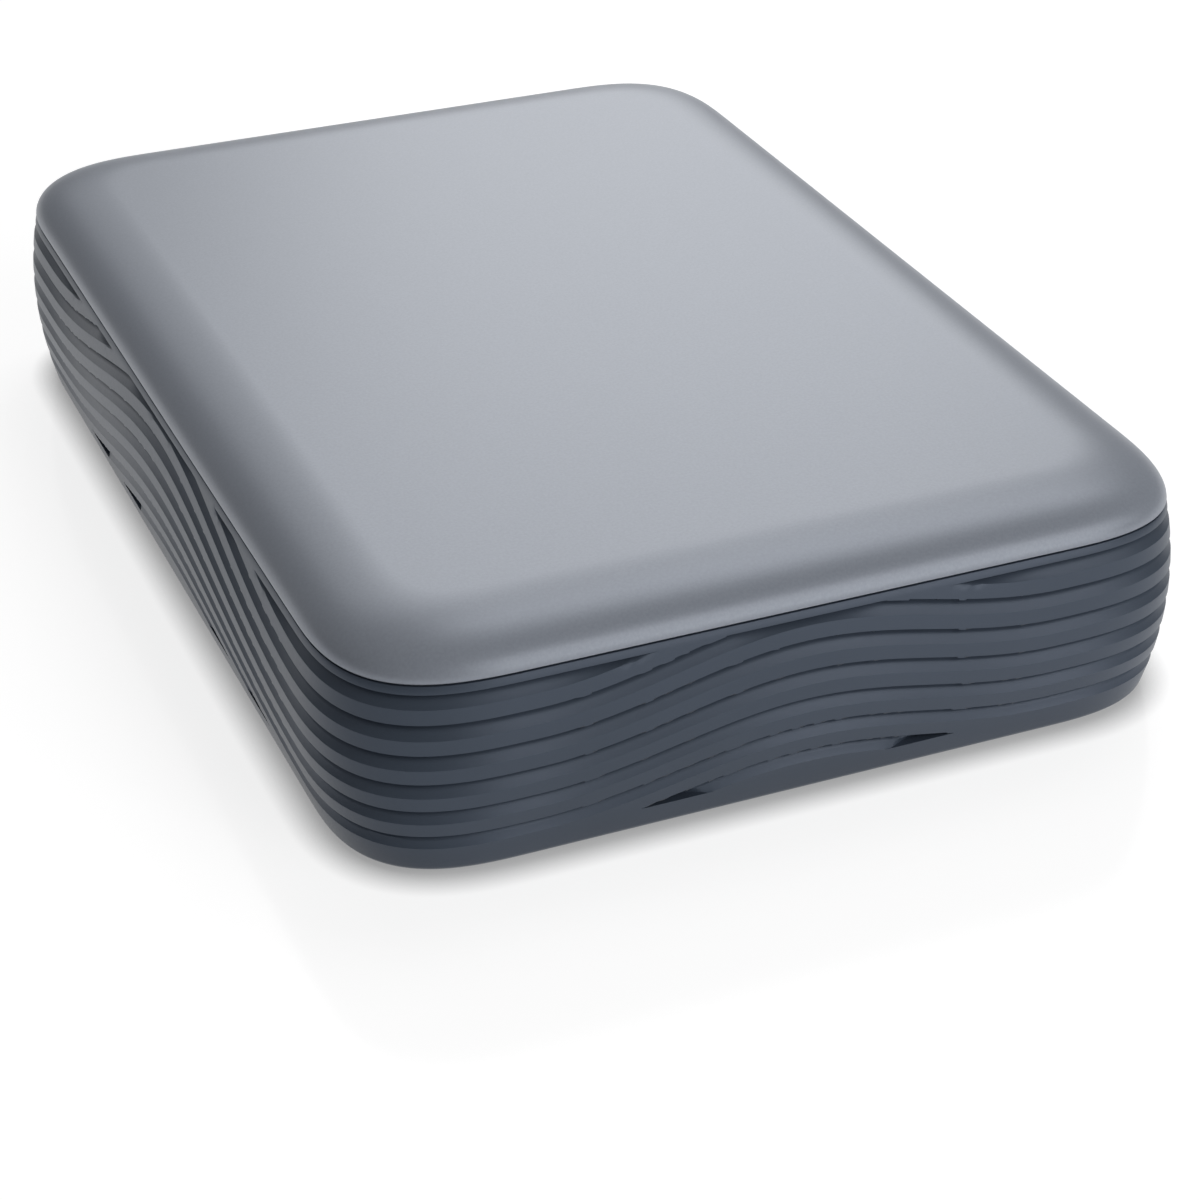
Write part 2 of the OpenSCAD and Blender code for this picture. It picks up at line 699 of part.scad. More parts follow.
module drive_board_chips() {
    color(chip_black) in_drive() translate([0, notch_v, 0]) {
        bar(-8, 6, -36, -24, 0.05, recess_z - 1);
        bar(-24, -14, -42, -34, 0.1, recess_z - 1);
        bar(-22, -15, -24, -17, 0.1, recess_z - 1);
        bar(18, 27, -48, -42, 0.1, recess_z - 1);
    }
}

module drive_board_screws() {
    color(steel) in_drive()
        for (p = board_screw_places)
            translate([p[0], p[1], 0.1]) {
                cylinder(d = 3.4, h = recess_z - 1.1);
                cylinder(d = 1.8, h = recess_z + 1.2);
            }
}

module drive_plug() {
    color(chip_black) in_drive() {
        bar(-plug_w / 2, plug_w / 2, notch_v, notch_v + 1.5, 0.8, 5.4);
        bar(2.8 - plug_w / 2, plug_w / 2 - 2.8, notch_v + 1.5, drive_l - 0.6,
            plug_z - 0.6, plug_z + 0.6);
    }
}

// ---- disks on their motor ----

module spindle_shaft() {
    color(steel) at_spindle() translate([0, 0, well_z - 0.6])
        cylinder(d = shaft_d, h = stack_top + 0.3 - well_z + 0.6);
}

module motor_stator() {
    color([0.72, 0.45, 0.2]) at_spindle() translate([0, 0, well_z]) difference() {
        union() {
            cylinder(r = 5, h = 2.2);
            for (a = [0:40:320]) rotate([0, 0, a]) {
                bar(4, 8.6, -0.9, 0.9, 0.2, 1.9);
                bar(8.4, hub_r - 0.1, -2, 2, 0.2, 1.9);
            }
        }
        translate([0, 0, -1]) cylinder(d = shaft_d, h = 5);
    }
}

// Rotor: a cup over the stator, with a flange that carries the first disk.
module spindle_hub() {
    color(steel) at_spindle() difference() {
        rotate_extrude() polygon([
            [shaft_d / 2 + bearing_play, well_z + 2.4], [hub_r + 0.3, well_z + 2.4],
            [hub_r + 0.3, well_z + 0.6], [flange_r, well_z + 0.6],
            [flange_r, first_disk_z], [hub_r, first_disk_z],
            [hub_r, stack_top], [shaft_d / 2 + bearing_play, stack_top]]);
        at_clamp_screws() translate([0, 0, -2]) cylinder(d = 1.5, h = 3);
    }
}

module disks() {
    color([0.8, 0.81, 0.83]) at_spindle()
        for (i = [0:disk_count - 1])
            translate([0, 0, first_disk_z + i * disk_pitch]) difference() {
                cylinder(d = disk_d, h = disk_t, $fn = 128);
                translate([0, 0, -1]) cylinder(d = disk_bore, h = 3);
            }
}

module disk_spacers() {
    color(steel) at_spindle()
        if (disk_count > 1)
            for (i = [0:disk_count - 2])
                translate([0, 0, first_disk_z + disk_t + i * disk_pitch]) difference() {
                    cylinder(r = flange_r - 0.2, h = spacer_t);
                    translate([0, 0, -1]) cylinder(d = disk_bore, h = 4);
                }
}

module disk_clamp() {
    color(steel) at_spindle() translate([0, 0, stack_top]) difference() {
        cylinder(r = flange_r - 0.2, h = 0.8);
        translate([0, 0, -1]) cylinder(d = shaft_d + 2, h = 3);
        for (a = [0:60:300]) rotate([0, 0, a + 30]) translate([8.8, 0, -1]) cylinder(d = 1.6, h = 3);
        for (a = [0:60:300]) rotate([0, 0, a]) translate([6.4, 0, -1]) cylinder(d = 1.5, h = 3);
    }
}

// Places of the screws through the clamp, on top of the stack.
module at_clamp_screws() {
    for (a = [0:60:300]) rotate([0, 0, a]) translate([6.4, 0, stack_top]) children();
}

module clamp_screws() {
    color(cast_metal) at_spindle() at_clamp_screws() {
        translate([0, 0, -1.8]) cylinder(d = 1.4, h = 2.7);
        translate([0, 0, 0.8]) cylinder(d = 2.6, h = 0.5);
    }
}

// ---- head actuator, drawn with its arms along +X and turned to the parked position ----

module actuator() {
    at_pivot() rotate([0, 0, park_dir]) children();
}

arm_levels = [for (i = [0:disk_count]) first_arm_z + i * disk_pitch];
arm_end = head_reach - 9;

module pivot_shaft() {
    color(steel) at_pivot() translate([0, 0, recess_z])
        cylinder(d = shaft_d, h = base_top - 0.3 - recess_z);
}

module head_arm_block() {
    z0 = cavity_z + 0.15;
    z1 = arm_levels[disk_count] + arm_t / 2 + 0.2;
    color(cast_metal) actuator() difference() {
        union() {
            translate([0, 0, z0]) cylinder(r = pivot_r, h = max(z1, coil_mid + 1.4) - z0);
            for (z = arm_levels)
                translate([0, 0, z - arm_t / 2]) linear_extrude(arm_t)
                    polygon([[0, 0.2 - pivot_r], [arm_end, -1.8], [arm_end, 1.8], [0, pivot_r - 0.2]]);
            translate([0, 0, coil_mid - coil_t / 2]) linear_extrude(coil_t) intersection() {
                circle(coil_in_r - 0.02);
                polygon([[0, 0.2 - pivot_r], [-coil_in_r, 0.4 - pivot_r],
                         [-coil_in_r, pivot_r - 0.4], [0, pivot_r - 0.2]]);
            }
        }
        translate([0, 0, -1]) cylinder(d = shaft_d + 2 * bearing_play, h = drive_h * 2);
        translate([14, 0, z0 - 1]) cylinder(r = 1.6, h = drive_h * 2);
    }
}

module head_suspensions() {
    color(steel) actuator()
        for (i = [0:disk_count], side = [-1, 1])
            if (!(i == 0 && side < 0) && !(i == disk_count && side > 0))
                translate([0, 0, arm_levels[i] + side * (arm_t / 2 + 0.06) - 0.06])
                    linear_extrude(0.12)
                        polygon([[arm_end - 3, -1.6], [arm_end, -1.6], [head_reach + 2.6, -0.4],
                                 [head_reach + 2.6, 0.4], [arm_end, 1.6], [arm_end - 3, 1.6]]);
}

module read_heads() {
    gap = spacer_t / 2 - arm_t / 2 - 0.12;
    color(chip_black) actuator()
        for (i = [0:disk_count], side = [-1, 1])
            if (!(i == 0 && side < 0) && !(i == disk_count && side > 0))
                translate([head_reach, 0, arm_levels[i] + side * (arm_t / 2 + 0.12 + gap / 2 - 0.01)])
                    cube([1.2, 0.8, gap - 0.02], center = true);
}

module voice_coil() {
    color([0.75, 0.45, 0.2]) actuator() translate([0, 0, coil_mid - coil_t / 2])
        difference() {
            sector(coil_in_r, coil_r, 180 - coil_half, 180 + coil_half, coil_t);
            translate([0, 0, -1])
                sector(coil_in_r + 3, coil_r - 3, 190 - coil_half, 170 + coil_half, coil_t + 2);
        }
}

// Magnets and steel plates below and above the coil, over the whole of its swing.
swing_from = park_dir + 180 - coil_half - 2;
swing_to = park_dir + swing + 180 + coil_half + 2;
plate_past = 9.5;

module magnet_arc(z, h, grow, wider) {
    at_pivot() translate([0, 0, z])
        sector(coil_in_r + 0.7 - grow, coil_r + 0.5 + grow, swing_from - wider, swing_to + wider, h);
}

module lower_yoke() {
    color(steel) magnet_arc(coil_mid - magnet_gap / 2 - magnet_t - yoke_t, yoke_t, 0.6, plate_past);
}

module lower_magnet() {
    color([0.5, 0.5, 0.52]) magnet_arc(coil_mid - magnet_gap / 2 - magnet_t, magnet_t, 0, 0);
}

module upper_magnet() {
    color([0.5, 0.5, 0.52]) magnet_arc(coil_mid + magnet_gap / 2, magnet_t, 0, 0);
}

module upper_yoke() {
    color(steel) magnet_arc(coil_mid + magnet_gap / 2 + magnet_t, yoke_t, 0.6, plate_past);
}

module yoke_posts() {
    h = magnet_gap + 2 * magnet_t;
    color(steel) at_pivot()
        for (a = [swing_from - plate_past + 4, swing_to + plate_past - 4])
            rotate([0, 0, a]) translate([coil_r - 0.7, 0, coil_mid - h / 2])
                cylinder(d = 2.4, h = h);
}

// Ramp on which the tips of the suspensions rest when parked.
module load_ramp() {
    color("ivory") actuator() {
        bar(head_reach + 3, head_reach + 6, -2.5, 2.5, cavity_z, arm_levels[disk_count] + 0.6);
        for (z = arm_levels)
            bar(head_reach + 1.2, head_reach + 3.1, -1.8, 1.8, z - 0.2, z + 0.2);
    }
}

module air_filter() {
    color("white") in_drive() bar(2 - chamber_left, 7 - chamber_left,
                                  chamber_v - 9.4, chamber_v - 2.4, cavity_z, cavity_z + 7);
}

lower_case();
top_cover();
rubber_feet();
corner_pads();
usb_socket_shell();
usb_socket_tongue();
bridge_board();
bridge_chips();
sata_receptacle();
light_guide();
status_light();
board_screws();
drive_base();
drive_lid();
lid_gasket();
lid_screws();
drive_board();
drive_board_chips();
drive_board_screws();
drive_plug();
spindle_shaft();
motor_stator();
spindle_hub();
disks();
disk_spacers();
disk_clamp();
clamp_screws();
pivot_shaft();
head_arm_block();
head_suspensions();
read_heads();
voice_coil();
lower_yoke();
lower_magnet();
upper_yoke();
upper_magnet();
yoke_posts();
load_ramp();
air_filter();
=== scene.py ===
"""Looks of an external hard drive: slate casing with waving ridges, satin cover, inner drive."""
import math
import bmesh
import bpy
import numpy as np
from mathutils import Matrix, Vector


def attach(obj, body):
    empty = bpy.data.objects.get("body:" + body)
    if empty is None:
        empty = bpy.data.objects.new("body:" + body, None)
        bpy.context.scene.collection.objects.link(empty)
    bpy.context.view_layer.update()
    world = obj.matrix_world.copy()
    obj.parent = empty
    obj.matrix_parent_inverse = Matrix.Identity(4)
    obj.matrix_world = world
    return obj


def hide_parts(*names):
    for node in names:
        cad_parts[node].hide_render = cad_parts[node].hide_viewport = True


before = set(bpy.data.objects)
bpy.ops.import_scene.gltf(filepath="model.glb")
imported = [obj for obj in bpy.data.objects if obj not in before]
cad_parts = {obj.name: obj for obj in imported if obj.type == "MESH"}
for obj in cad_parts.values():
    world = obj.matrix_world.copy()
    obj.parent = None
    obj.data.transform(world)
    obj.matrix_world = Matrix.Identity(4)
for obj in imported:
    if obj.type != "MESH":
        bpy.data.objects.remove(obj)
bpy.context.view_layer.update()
MM = 0.001


# Camera
# One photographic camera with a long lens, looking down on a corner from about 31 degrees.
view_turn, view_tilt = math.radians(-22.982), math.radians(30.618)
lens_mm, sensor_mm = 87.686, 36.0
towards_camera = Vector((math.sin(view_turn) * math.cos(view_tilt),
                         -math.cos(view_turn) * math.cos(view_tilt), math.sin(view_tilt)))
camera_right = Vector((math.cos(view_turn), math.sin(view_turn), 0))
camera_up = towards_camera.cross(camera_right)
distance_mm, offset_x_mm, offset_y_mm, stand_mm = 292.217, 5.09, 9.914, 0.3
camera_place = (towards_camera * distance_mm + camera_right * offset_x_mm
                - camera_up * offset_y_mm + Vector((0, 0, stand_mm))) * MM
camera_data = bpy.data.cameras.new("studio_camera")
camera_data.lens, camera_data.sensor_width = lens_mm, sensor_mm
camera_data.sensor_fit = "HORIZONTAL"
camera_data.clip_start, camera_data.clip_end = 0.01, 50
camera = bpy.data.objects.new("studio_camera", camera_data)
camera.matrix_world = Matrix((
    (camera_right.x, camera_up.x, towards_camera.x, camera_place.x),
    (camera_right.y, camera_up.y, towards_camera.y, camera_place.y),
    (camera_right.z, camera_up.z, towards_camera.z, camera_place.z),
    (0, 0, 0, 1)))
bpy.context.scene.collection.objects.link(camera)
bpy.context.scene.camera = camera
bpy.context.scene.view_settings.view_transform = "Standard"


# Studio: floor, surround and lamps
# A white sweep of coated board under soft boxes. The floor keeps the drive's soft cast shadow from the
# lamps, a painted contact shadow close to its foot, and a trace of its mirror image.

def linear(code):
    """Linear colour of an sRGB hex value: (v/12.92) below 0.04045, else ((v+0.055)/1.055)^2.4."""
    values = [int(code[i:i + 2], 16) / 255 for i in (1, 3, 5)]
    return tuple(v / 12.92 if v <= 0.04045 else ((v + 0.055) / 1.055) ** 2.4 for v in values) + (1,)


def add(tree, kind, settings=None, **sockets):
    """Adds a node: settings are its properties; a socket takes a value, or a link from a socket."""
    made = tree.nodes.new("ShaderNode" + kind)
    for name, value in (settings or {}).items():
        setattr(made, name, value)
    for name, value in sockets.items():
        wanted = name.replace("_", " ").strip().lower()
        number = int(wanted[3:]) if wanted.startswith("in ") else None
        socket = made.inputs[number] if number is not None else next(
            s for s in made.inputs if s.name.lower() == wanted and s.enabled)
        if isinstance(value, bpy.types.NodeSocket):
            tree.links.new(value, socket)
        else:
            socket.default_value = value
    return made


def blank(name):
    """A node material with only its output; gives the material, its tree and the output."""
    made = bpy.data.materials.new(name)
    made.use_nodes = True
    made.node_tree.nodes.clear()
    return made, made.node_tree, made.node_tree.nodes.new("ShaderNodeOutputMaterial")


def sweep(half):
    """Square sheet of the given half size in metres, level with the table."""
    corners = [(-half, -half, 0), (half, -half, 0), (half, half, 0), (-half, half, 0)]
    mesh = bpy.data.meshes.new("studio_floor")
    mesh.from_pydata(corners, [], [(0, 1, 2, 3)])
    made = bpy.data.objects.new("studio_floor", mesh)
    bpy.context.scene.collection.objects.link(made)
    return made


coated_board, tree, out = blank("coated white board")
# Matt white card with a thin clear coat. A glow lifts what the camera and reflections see towards
# white. Within 3 mm of the drive's foot, ambient occlusion weakens it, which paints a contact shadow;
# far from the foot there is only plain white.
foot_shade = 3 * MM
fade_from, fade_to = 0.15, 0.8
path = add(tree, "LightPath")
seen = add(tree, "Math", {"operation": "MAXIMUM"}, in_0=path.outputs["Is Camera Ray"],
           in_1=path.outputs["Is Glossy Ray"])
seen = add(tree, "Math", {"operation": "MAXIMUM"}, in_0=seen.outputs[0],
           in_1=path.outputs["Is Transmission Ray"])
tone = add(tree, "Mix", {"data_type": "RGBA"}, in_0=seen.outputs[0], in_6=linear("#f4f4f4"),
           in_7=linear("#a6a6a6"))
# Ambient occlusion within foot_shade of the foot dims the glow: a painted contact shadow on the floor.
painted_contact_shadow = add(tree, "AmbientOcclusion", {"samples": 16}, Distance=foot_shade)
lift = add(tree, "MapRange", Value=painted_contact_shadow.outputs["AO"], From_Min=0.4, To_Min=0.3, To_Max=0.8)
mirrored = add(tree, "Math", {"operation": "MULTIPLY"}, in_0=path.outputs["Is Glossy Ray"], in_1=0.6)
lift = add(tree, "Math", {"operation": "MAXIMUM"}, in_0=lift.outputs[0], in_1=mirrored.outputs[0])
glow = add(tree, "Math", {"operation": "MULTIPLY"}, in_0=seen.outputs[0], in_1=lift.outputs[0])
matt = add(tree, "BsdfDiffuse", Color=tone.outputs[2])
gloss = add(tree, "BsdfGlossy", Color=(1, 1, 1, 1), Roughness=0.12)
board = add(tree, "MixShader", in_0=0.02, in_1=matt.outputs[0], in_2=gloss.outputs[0])
light = add(tree, "Emission", Color=(1, 1, 1, 1), Strength=glow.outputs[0])
both = add(tree, "AddShader", in_0=board.outputs[0], in_1=light.outputs[0])
place = add(tree, "TexCoord")
away = add(tree, "VectorMath", {"operation": "LENGTH"}, in_0=place.outputs["Object"])
beyond = add(tree, "MapRange", Value=away.outputs[1], From_Min=fade_from, From_Max=fade_to)
faded = add(tree, "Math", {"operation": "MULTIPLY"}, in_0=beyond.outputs[0], in_1=seen.outputs[0])
white = add(tree, "Emission", Color=(1, 1, 1, 1), Strength=1.0)
whole = add(tree, "MixShader", in_0=faded.outputs[0], in_1=both.outputs[0], in_2=white.outputs[0])
tree.links.new(whole.outputs[0], out.inputs[0])
floor = sweep(4.0)
floor.data.materials.append(coated_board)

world = bpy.data.worlds.new("studio_air")
world.use_nodes = True
bpy.context.scene.world = world
tree = world.node_tree
tree.nodes.clear()
path = add(tree, "LightPath")
seen = add(tree, "Math", {"operation": "MAXIMUM"}, in_0=path.outputs["Is Camera Ray"],
           in_1=path.outputs["Is Transmission Ray"])
soft = add(tree, "Background", Color=linear("#ffffff"), Strength=0.21)
bright = add(tree, "Background", Color=(1, 1, 1, 1), Strength=1.0)
mixed = add(tree, "MixShader", in_0=seen.outputs[0], in_1=soft.outputs[0], in_2=bright.outputs[0])
tree.links.new(mixed.outputs[0], tree.nodes.new("ShaderNodeOutputWorld").inputs[0])


lamp_away, lamp_lift, aim_up = 1.2, 0.02, 0.01


def soft_box(name, turn, tilt, size, shine):
    """Rectangular lamp that faces the object from lamp_away metres. It stands at an angle
    counter-clockwise from -Y seen from above, and at a height angle; shine is the brightness
    of its face."""
    data = bpy.data.lights.new(name, "AREA")
    data.shape, data.size, data.size_y = "RECTANGLE", size[0], size[1]
    data.energy = math.pi * size[0] * size[1] * shine
    turn, tilt = math.radians(turn), math.radians(tilt)
    place = Vector((math.sin(turn) * math.cos(tilt), -math.cos(turn) * math.cos(tilt),
                    math.sin(tilt))) * lamp_away + Vector((0, 0, lamp_lift))
    lamp = bpy.data.objects.new(name, data)
    lamp.location = place
    lamp.rotation_euler = (Vector((0, 0, aim_up)) - place).to_track_quat("-Z", "Y").to_euler()
    bpy.context.scene.collection.objects.link(lamp)


soft_box("front_box", 24, 30, (0.5, 0.5), 2.3)
soft_box("front_low_box", 24, 8, (0.5, 0.3), 4.0)
soft_box("side_box", 45, 30, (0.5, 0.5), 1.5)
soft_box("back_low_box", 153, 20, (0.5, 0.3), 2.9)
soft_box("back_box", 153, 34, (0.5, 0.5), 1.6)
soft_box("high_side_box", 130, 58, (0.5, 0.5), 3.0)
soft_box("high_back_box", 176, 36, (0.5, 0.5), 1.1)


# Lower casing
# Open tray of moulded ABS plastic in slate grey. Waving ridges run right round its wall, each
# groove a cove with a crisp edge above it, between a plain rim and a plain foot band.
wide, long_, seam, floor_up = 80.0, 114.4, 18.2, 0.3
corner_reach, fullness = 16.0, 3.0
barrel, widest, base_round = 0.9, 10.25, 0.7
pitch, groove_tall, groove_deep, first_groove = 2.69, 1.3, 0.85, 16.3
rim_low, foot_top = 17.55, 2.5
slit_deep, slit_tall, run_out = 0.2, 0.55, 0.4
grooves, edge, lip_tall, lip_in = 9, 0.03, 0.15, 0.06
rise_long, rise_short, crest_shift = 6.25, 3.25, 2.3
pocket_deep, pocket_tall = 0.7, 0.7
wall_to, floor_thick, cove_in, cove_tall = 2.65, 1.5, 1.0, 2.0
flat_x, flat_y = wide / 2 - corner_reach, long_ / 2 - corner_reach


def plan(inset, per_corner=40, per_end=72, per_side=140):
    """Points round the outline, counter-clockwise: straight sides, and corners where
    |x/r|^n + |y/r|^n = 1 with n the fullness. The inset moves the outline inwards."""
    def bow(v):
        v = np.where(abs(v) < 1e-9, 0, v)
        return np.sign(v) * np.abs(v) ** (2 / fullness)

    turn = np.linspace(0, np.pi / 2, per_corner, endpoint=False)
    reach = corner_reach - inset
    xs, ys = [], []
    for sx, sy, start in ((1, 1, 0), (-1, 1, 1), (-1, -1, 2), (1, -1, 3)):
        angle = turn + start * np.pi / 2
        xs.append(sx * flat_x + reach * bow(np.cos(angle)))
        ys.append(sy * flat_y + reach * bow(np.sin(angle)))
        if start % 2 == 0:
            run = np.linspace(sy * flat_x, -sy * flat_x, per_end, endpoint=False)
            xs.append(run)
            ys.append(np.full(per_end, sy * (long_ / 2 - inset)))
        else:
            run = np.linspace(-sx * flat_y, sx * flat_y, per_side, endpoint=False)
            xs.append(np.full(per_side, sx * (wide / 2 - inset)))
            ys.append(run)
    return np.concatenate(xs), np.concatenate(ys)


def climb(x, y):
    """How far the ridges have risen at a wall point: one raised cosine along each straight side."""
    def hump(u):
        return np.where(np.abs(u) < 1, (1 + np.cos(np.pi * u)) / 2, 0)

    on_side = np.abs(x) >= flat_x - 1e-3
    on_end = np.abs(y) >= flat_y - 1e-3
    return (np.where(on_side, rise_long * hump((y + crest_shift) / flat_y), 0)
            + np.where(on_end, rise_short * hump(x / flat_x), 0))


def wall_inset(z):
    """Barrel of the wall, a parabola about its widest height, and the rounded lower edge."""
    bulge = barrel * ((z - widest) / (seam - widest)) ** 2
    lift = np.clip(base_round - z, 0, base_round)
    return bulge + base_round - np.sqrt(base_round ** 2 - lift ** 2)


def groove_inset(z, rise):
    """Depth of the pattern: in a groove, depth times (1 - 0.7u - 0.3u^2), where u runs from 0
    under the ridge or rim above it to 1 at its lower edge. A fine slit right under the ridge adds
    to it and fades out over its lower half, and so does a pocket above the foot band. Where the
    rim cuts a groove short, both run out over its last part."""
    number = np.ceil((first_groove + rise - z) / pitch - 1e-6)
    low = first_groove + rise - number * pitch
    top = np.minimum(low + groove_tall, rim_low)
    u = (top - z) / (top - low)
    slit = slit_deep * np.clip(2 - 2 * (top - z) / slit_tall, 0, 1)
    cove = (((groove_deep - slit_deep) * (1 - 0.7 * u - 0.3 * u ** 2) + slit)
            * np.clip((top - low) / run_out, 0, 1))
    pocket = (pocket_deep * np.clip((foot_top - low) / run_out, 0, 1)
              * np.clip(1 - (z - foot_top) / pocket_tall, 0, 1))
    return np.where((u >= 0) & (u <= 1), cove + pocket, 0)


def skin(name, rings, sharp_degrees):
    """Closed mesh through rings of points (rings, points, 3): quads between neighbours, a fan to
    the middle of the first and the last ring, and edges sharper than the angle left crisp."""
    rings = np.asarray(rings, float)
    count, around = rings.shape[:2]
    points = rings.reshape(-1, 3)
    row, column = np.meshgrid(np.arange(count - 1), np.arange(around), indexing="ij")
    after = (column + 1) % around
    quads = np.stack([row * around + column, row * around + after,
                      (row + 1) * around + after, (row + 1) * around + column], -1).reshape(-1, 4)
    faces = quads.tolist()
    middle = [rings[0].mean(0), rings[-1].mean(0)]
    middle[0][:2] = middle[1][:2] = 0
    points = np.vstack([points, middle])
    c = np.arange(around)
    n = (c + 1) % around
    faces += np.stack([np.full(around, count * around), n, c], -1).tolist()
    last = (count - 1) * around
    faces += np.stack([np.full(around, count * around + 1), last + c, last + n], -1).tolist()
    mesh = bpy.data.meshes.new(name)
    mesh.from_pydata((points * MM).tolist(), [], faces)
    work = bmesh.new()
    work.from_mesh(mesh)
    bmesh.ops.remove_doubles(work, verts=work.verts, dist=1e-7)
    bmesh.ops.dissolve_degenerate(work, edges=work.edges, dist=1e-8)
    work.to_mesh(mesh)
    work.free()
    mesh.shade_smooth()
    mesh.set_sharp_from_angle(angle=math.radians(sharp_degrees))
    made = bpy.data.objects.new(name, mesh)
    bpy.context.scene.collection.objects.link(made)
    return made


def level_ring(inset, z):
    """One ring at a single height and inset, lifted on the feet."""
    x, y = plan(inset)
    return np.stack([x, y, np.full(len(x), z + floor_up)], -1)


wide_x, wide_y = plan(0)
base_x, base_y = plan(1.0)
rise = climb(wide_x, wide_y)
rows = []
for k in reversed(range(grooves)):
    low = first_groove - k * pitch
    rows += [low + groove_tall * t for t in (0, 0.06, 0.15, 0.3, 0.45, 0.57, 0.68, 0.78, 0.88)]
    rows += [low + groove_tall - edge, low + groove_tall]
    rows += [low + groove_tall + (pitch - groove_tall) * t for t in (0.08, 0.5, 0.92)]
rings = [level_ring(wall_inset(np.array(z)), z)
         for z in base_round * np.array([0, 0.02, 0.08, 0.18, 0.32, 0.5, 0.72, 1.0])]
rings.append(level_ring(wall_inset(np.array(foot_top)), foot_top))
for height in rows:
    z = np.clip(height + rise, foot_top + edge, rim_low - edge)
    inset = wall_inset(z) + groove_inset(z, rise)
    x, y = wide_x + (base_x - wide_x) * inset, wide_y + (base_y - wide_y) * inset
    rings.append(np.stack([x, y, z + floor_up], -1))
rings += [level_ring(wall_inset(np.array(z)), z) for z in (rim_low, seam - lip_tall)]
rings += [level_ring(wall_inset(np.array(seam)) + lip_in, seam), level_ring(wall_to, seam),
          level_ring(wall_to, floor_thick + cove_tall),
          level_ring(wall_to + cove_in, floor_thick)]
casing = skin("casing_shell", rings, 28)


def rounded(width, height, radius, steps=12):
    """Outline of a rectangle with quarter-circle corners, counter-clockwise about its middle."""
    turn = np.linspace(0, np.pi / 2, steps + 1)
    parts = []
    for quarter, (sx, sy) in enumerate(((1, 1), (-1, 1), (-1, -1), (1, -1))):
        angle = turn + quarter * np.pi / 2
        parts.append(np.stack([sx * (width / 2 - radius) + radius * np.cos(angle),
                               sy * (height / 2 - radius) + radius * np.sin(angle)], -1))
    return np.concatenate(parts)


def prism(outline, low, high, middle, along_y=False):
    """Closed prism through an outline from low to high: its points in mm, and its faces. It
    stands along Z, or lies along Y with the outline's second coordinate pointing up."""
    n = len(outline)
    at = np.concatenate([np.column_stack([outline, np.full(n, h)]) for h in (low, high)])
    if along_y:
        at = np.column_stack([-at[:, 0], at[:, 2], at[:, 1]])
    i = np.arange(n)
    sides = np.stack([i, (i + 1) % n, n + (i + 1) % n, n + i], -1).tolist()
    return at + np.array(middle), sides + [i[::-1].tolist(), (n + i).tolist()]


def solid(name, prisms):
    """One mesh object from several closed prisms."""
    points, faces, start = [], [], 0
    for at, sides in prisms:
        points.append(at)
        faces += [[start + v for v in face] for face in sides]
        start += len(at)
    mesh = bpy.data.meshes.new(name)
    mesh.from_pydata((np.concatenate(points) * MM).tolist(), [], faces)
    made = bpy.data.objects.new(name, mesh)
    bpy.context.scene.collection.objects.link(made)
    return made


def cut_away(piece, tool, sharp_degrees):
    """Subtracts a closed tool from a closed piece for good, and drops the tool."""
    cut = piece.modifiers.new("openings", "BOOLEAN")
    cut.operation, cut.solver, cut.object = "DIFFERENCE", "EXACT", tool
    whole = bpy.context.evaluated_depsgraph_get()
    mesh = bpy.data.meshes.new_from_object(piece.evaluated_get(whole))
    piece.modifiers.clear()
    piece.data = mesh
    mesh.shade_smooth()
    mesh.set_sharp_from_angle(angle=math.radians(sharp_degrees))
    bpy.data.objects.remove(tool)


# The socket's opening, the light's hole, four foot recesses and the board screws' bosses.
socket_up, foot_x, foot_y, light_x = 6.0, 28.0, 45.2, 14.0
socket_wide, socket_tall, socket_round, light_wide = 13.9, 3.9, 1.0, 1.9
cut_from, cut_to, foot_wide, foot_deep = 52.0, 60.0, 9.2, 0.8
boss_x, boss_y, boss_tall, boss_r, bore_r, boss_round = 20.8, 52.175, 2.05, 2.2, 0.95, 0.15
openings = [prism(outline, cut_from, cut_to, (x, 0, socket_up + floor_up), True)
            for x, outline in ((0, rounded(socket_wide, socket_tall, socket_round)),
                               (light_x, rounded(light_wide, light_wide, light_wide / 2)))]
openings += [prism(rounded(foot_wide, foot_wide, foot_wide / 2), -1.0, foot_deep,
                   (x * foot_x, y * foot_y, 0)) for x in (-1, 1) for y in (-1, 1)]
cut_away(casing, solid("casing_openings", openings), 28)


def turned(name, profile, middle, steps=48, sharp_degrees=30):
    """Surface of revolution: a closed profile of (radius, height) carried round Z."""
    profile = np.asarray(profile, float)
    angle = np.linspace(0, 2 * np.pi, steps, endpoint=False)
    ring = np.stack([np.cos(angle), np.sin(angle)], -1)
    at = np.concatenate([np.column_stack([ring * r, np.full(steps, z)]) for r, z in profile])
    n, i = len(profile), np.arange(steps)
    after = (i + 1) % steps
    faces = np.concatenate([np.stack([k * steps + i, k * steps + after,
                                      (k + 1) % n * steps + after, (k + 1) % n * steps + i], -1)
                            for k in range(n)])
    mesh = bpy.data.meshes.new(name)
    mesh.from_pydata(((at + np.array(middle)) * MM).tolist(), [], faces.tolist())
    mesh.shade_smooth()
    mesh.set_sharp_from_angle(angle=math.radians(sharp_degrees))
    made = bpy.data.objects.new(name, mesh)
    bpy.context.scene.collection.objects.link(made)
    return made


boss_profile = [(bore_r, -0.5), (boss_r, -0.5), (boss_r, boss_tall - boss_round),
                (boss_r - boss_round, boss_tall), (bore_r + 0.2, boss_tall), (bore_r, boss_tall - 0.2)]
bosses = [turned(f"casing_boss_{side}", boss_profile, (x * boss_x, boss_y, floor_thick + floor_up))
          for side, x in (("left", -1), ("right", 1))]

moulded_abs, tree, out = blank("moulded ABS, slate")
